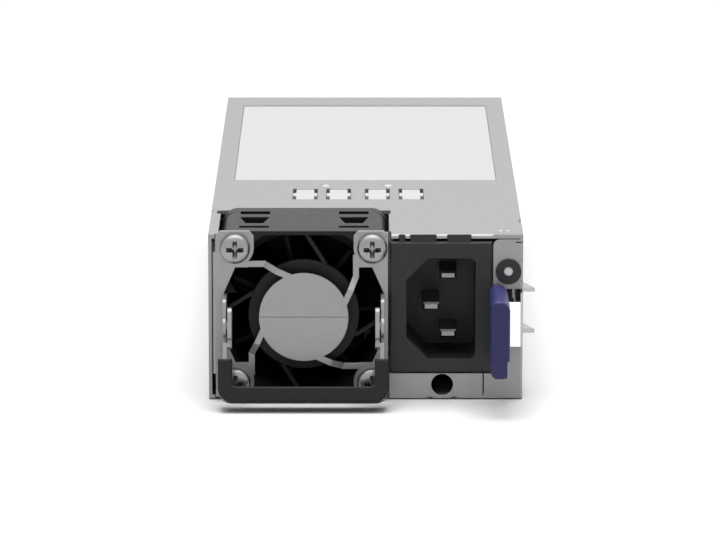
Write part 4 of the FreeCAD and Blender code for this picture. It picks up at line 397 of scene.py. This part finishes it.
# How each material slot of the record looks, and two finishes of the scene's own.
MATERIALS = {
    "steel_sheet": lambda n: sheet_metal(n, (0.36, 0.36, 0.36), 0.70, 0.48),
    "guard_steel": lambda n: sheet_metal(n, (0.355, 0.355, 0.355), 0.70, 0.42),
    "spring_steel": latch_steel,
    "bright_steel": lambda n: plain_metal(n, (0.31, 0.31, 0.31), 0.30),
    "label_film": lambda n: printed_film(n, (0.645, 0.645, 0.65)),
    "white_film": lambda n: printed_film(n, (0.66, 0.66, 0.66)),
    "black_frame": lambda n: moulded(n, (0.018, 0.018, 0.019), 0.42, 0.35, edge=0.6, level=0.20),
    # The rotor's colour is darker than black plastic, a painted shade for the inside of the fan.
    "black_rotor": lambda n: moulded(n, (0.004, 0.004, 0.004), 0.50, 0.2, level=0.1),
    "black_grip": lambda n: moulded(n, (0.018, 0.018, 0.019), 0.50, 0.45, edge=0.8, level=0.22),
    "black_inlet": lambda n: moulded(n, (0.022, 0.022, 0.023), 0.48, 0.25, edge=0.6, level=0.4),
    "black_bezel": lambda n: moulded(n, (0.018, 0.018, 0.019), 0.34, 0.2, edge=0.8, level=0.4),
    "clear_lens": lens_material,
    "violet_tab": lambda n: moulded(n, (0.036, 0.036, 0.150), 0.40, 0.5, edge=0.9, level=0.35),
    # The connector blades are darker than bare plated metal, a painted shade for the inlet well they sit in.
    "blade_metal": lambda n: plain_metal(n, (0.25, 0.25, 0.245), 0.34),
    "bronze": lambda n: plain_metal(n, (0.50, 0.33, 0.16), 0.35),
    "magnet": lambda n: plain_metal(n, (0.10, 0.10, 0.11), 0.45),
    # Near-black finishes for inner parts: painted shade for the inside of the case.
    "varnish_dark_as_painted_shade": lambda n: plain_metal(n, (0.014, 0.008, 0.006), 0.40, metallic=0.4),
    "anodised_dark_as_painted_shade": lambda n: plain_metal(n, (0.012, 0.012, 0.013), 0.45, metallic=0.5),
    "board_green": board_material,
    "gold": lambda n: plain_metal(n, (0.90, 0.66, 0.26), 0.25),
    "brass_post": lambda n: plain_metal(n, (0.72, 0.56, 0.28), 0.30),
    "insulator": lambda n: moulded(n, (0.72, 0.70, 0.62), 0.35, 0.1),
    "wire": lambda n: moulded(n, (0.018, 0.018, 0.018), 0.45, 0.2),
    "connector_white": lambda n: moulded(n, (0.74, 0.72, 0.66), 0.45, 0.15),
    "yellow_film": lambda n: moulded(n, (0.70, 0.50, 0.06), 0.42, 0.3),
    "blue_disc": lambda n: moulded(n, (0.03, 0.10, 0.42), 0.35, 0.3),
    "ferrite": lambda n: moulded(n, (0.035, 0.035, 0.037), 0.60, 0.25),
    "copper": lambda n: plain_metal(n, (0.62, 0.26, 0.12), 0.30),
    "black_part": lambda n: moulded(n, (0.018, 0.018, 0.018), 0.45, 0.2),
    "can_sleeve": lambda n: moulded(n, (0.018, 0.022, 0.060), 0.30, 0.3),
    "can_metal": lambda n: plain_metal(n, (0.76, 0.76, 0.77), 0.26),
    "heat_sink": lambda n: sheet_metal(n, (0.62, 0.62, 0.63), 0.85, 0.38),
    "tape_yellow": lambda n: moulded(n, (0.72, 0.52, 0.10), 0.40, 0.1),
    "fuse_glass": lambda n: moulded(n, (0.62, 0.60, 0.54), 0.25, 0.3),
}

# Nodes that look different from the rest of their slot: the inner windings, stator and heat sink get
# near-black finishes, a painted shade that darkens the inside of the case seen through the fan.
NODE_FINISHES = {
    "power_heat_sink": "anodised_dark_as_painted_shade",
    "fan_stator": "varnish_dark_as_painted_shade",
    "filter_choke_windings": "varnish_dark_as_painted_shade",
    "boost_choke_winding": "varnish_dark_as_painted_shade",
}


def dress_nodes(finishes):
    """Gives every CAD node the finish of its slot, and smooth shading over its curved faces."""
    for part in record["subparts"]:
        piece = nodes[part["node"]]
        piece.data.materials.clear()
        piece.data.materials.append(finishes[NODE_FINISHES.get(part["node"], part["material_slot"])])
        piece.data.shade_smooth()
        piece.data.set_sharp_from_angle(angle=SMOOTH_ANGLE)


# ---------------------------------------------------------------- fan screws

def new_object(name, mesh_builder):
    """An object around the mesh that a function fills in."""
    data = bpy.data.meshes.new(name)
    form = bmesh.new()
    mesh_builder(form)
    bmesh.ops.recalc_face_normals(form, faces=form.faces)
    form.to_mesh(data)
    form.free()
    piece = bpy.data.objects.new(name, data)
    bpy.context.scene.collection.objects.link(piece)
    return piece


def screw_profile(length):
    """Radius and depth from the middle of the domed head to the tip of the threaded shank."""
    points = [(0.0, -SCREW_HEAD_HEIGHT)]
    for share, drop in HEAD_DOME:
        points.append((SCREW_HEAD_RADIUS * share, -SCREW_HEAD_HEIGHT * (1.0 - drop)))
    points.append((SCREW_HEAD_RADIUS * HEAD_SEAT, 0.0))
    depth = THREAD_START
    while depth < length - THREAD_PITCH:
        points.append((SCREW_SHANK_RADIUS - THREAD_DEPTH, depth))
        points.append((SCREW_SHANK_RADIUS, depth + THREAD_PITCH / 2))
        depth += THREAD_PITCH
    points.append((SCREW_SHANK_RADIUS - THREAD_DEPTH, depth))
    points.append((0.0, depth + THREAD_DEPTH))
    return points


def lathe(form, points, centre):
    """Turns a profile of (radius, depth) around the Y axis through a centre."""
    rings = []
    for radius, depth in points:
        count = 1 if radius == 0.0 else LATHE_STEPS
        ring = []
        for step in range(count):
            angle = math.tau * step / count
            x = centre.x + radius * math.cos(angle)
            z = centre.z + radius * math.sin(angle)
            ring.append(form.verts.new((x, centre.y + depth, z)))
        rings.append(ring)
    for near, far in zip(rings, rings[1:]):
        for step in range(LATHE_STEPS):
            corners = [near[step % len(near)], near[(step + 1) % len(near)]]
            corners += [far[(step + 1) % len(far)], far[step % len(far)]]
            unique = list(dict.fromkeys(corners))
            form.faces.new(unique)


def tapered_bar(form, centre, turned):
    """One arm pair of a cross recess: wide and long at the face, narrow and short at the bottom."""
    levels = []
    for (reach, half), depth in ((CROSS_TOP, -CUTTER_LEAD), (CROSS_BOTTOM, CROSS_DEPTH)):
        ring = []
        for a, b in ((-1, -1), (1, -1), (1, 1), (-1, 1)):
            x, z = (half * a, reach * b) if turned else (reach * a, half * b)
            ring.append(form.verts.new((centre.x + x, centre.y - SCREW_HEAD_HEIGHT + depth, centre.z + z)))
        levels.append(ring)
    top, bottom = levels
    form.faces.new(top)
    form.faces.new(list(reversed(bottom)))
    for i in range(4):
        j = (i + 1) % 4
        form.faces.new((top[i], bottom[i], bottom[j], top[j]))


def cut_away(piece, cutter):
    """Cuts one object out of another for good and removes the cutter."""
    cut = piece.modifiers.new("cut", "BOOLEAN")
    cut.operation = "DIFFERENCE"
    cut.solver = "EXACT"
    cut.object = cutter
    bpy.context.view_layer.update()
    shaped = bpy.data.meshes.new_from_object(piece.evaluated_get(bpy.context.evaluated_depsgraph_get()))
    piece.modifiers.clear()
    piece.data = shaped
    bpy.data.objects.remove(cutter)


def screw_centres():
    """Where the four screws stand, read from the quarters of their CAD node; y is the seat of the head."""
    spots = [vertex.co for vertex in nodes["fan_screws"].data.vertices]
    middle_x = (min(s.x for s in spots) + max(s.x for s in spots)) / 2
    middle_z = (min(s.z for s in spots) + max(s.z for s in spots)) / 2
    front = min(s.y for s in spots)
    rear = max(s.y for s in spots)
    centres = []
    for right in (False, True):
        for upper in (False, True):
            own = [s for s in spots if (s.x > middle_x) == right and (s.z > middle_z) == upper]
            x = (min(s.x for s in own) + max(s.x for s in own)) / 2
            z = (min(s.z for s in own) + max(s.z for s in own)) / 2
            centres.append(Vector((x, front + SCREW_HEAD_HEIGHT, z)))
    return centres, rear - front - SCREW_HEAD_HEIGHT


def make_fan_screws(finish):
    """Cross-recessed pan head screws that stand for the plain ones of the CAD part."""
    centres, length = screw_centres()
    bodies = record["behaviour"]["bodies"]
    body = next(name for name, held in bodies.items() if "fan_screws" in held)
    for index, centre in enumerate(centres):
        screw = new_object(f"fan_screw_{index + 1}", lambda form: lathe(form, screw_profile(length), centre))
        for turned in (False, True):
            cut_away(screw, new_object("recess", lambda form: tapered_bar(form, centre, turned)))
        screw.data.materials.clear()
        screw.data.materials.append(finish)
        screw.data.shade_smooth()
        screw.data.set_sharp_from_angle(angle=SMOOTH_ANGLE)
        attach(screw, body)
        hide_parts("fan_screws")


make_camera()
make_world()
make_lights()
make_floor()
all_finishes = {slot: make(slot) for slot, make in MATERIALS.items()}
dress_nodes(all_finishes)
make_fan_screws(all_finishes["bright_steel"])
bpy.context.scene.view_settings.view_transform = "Standard"
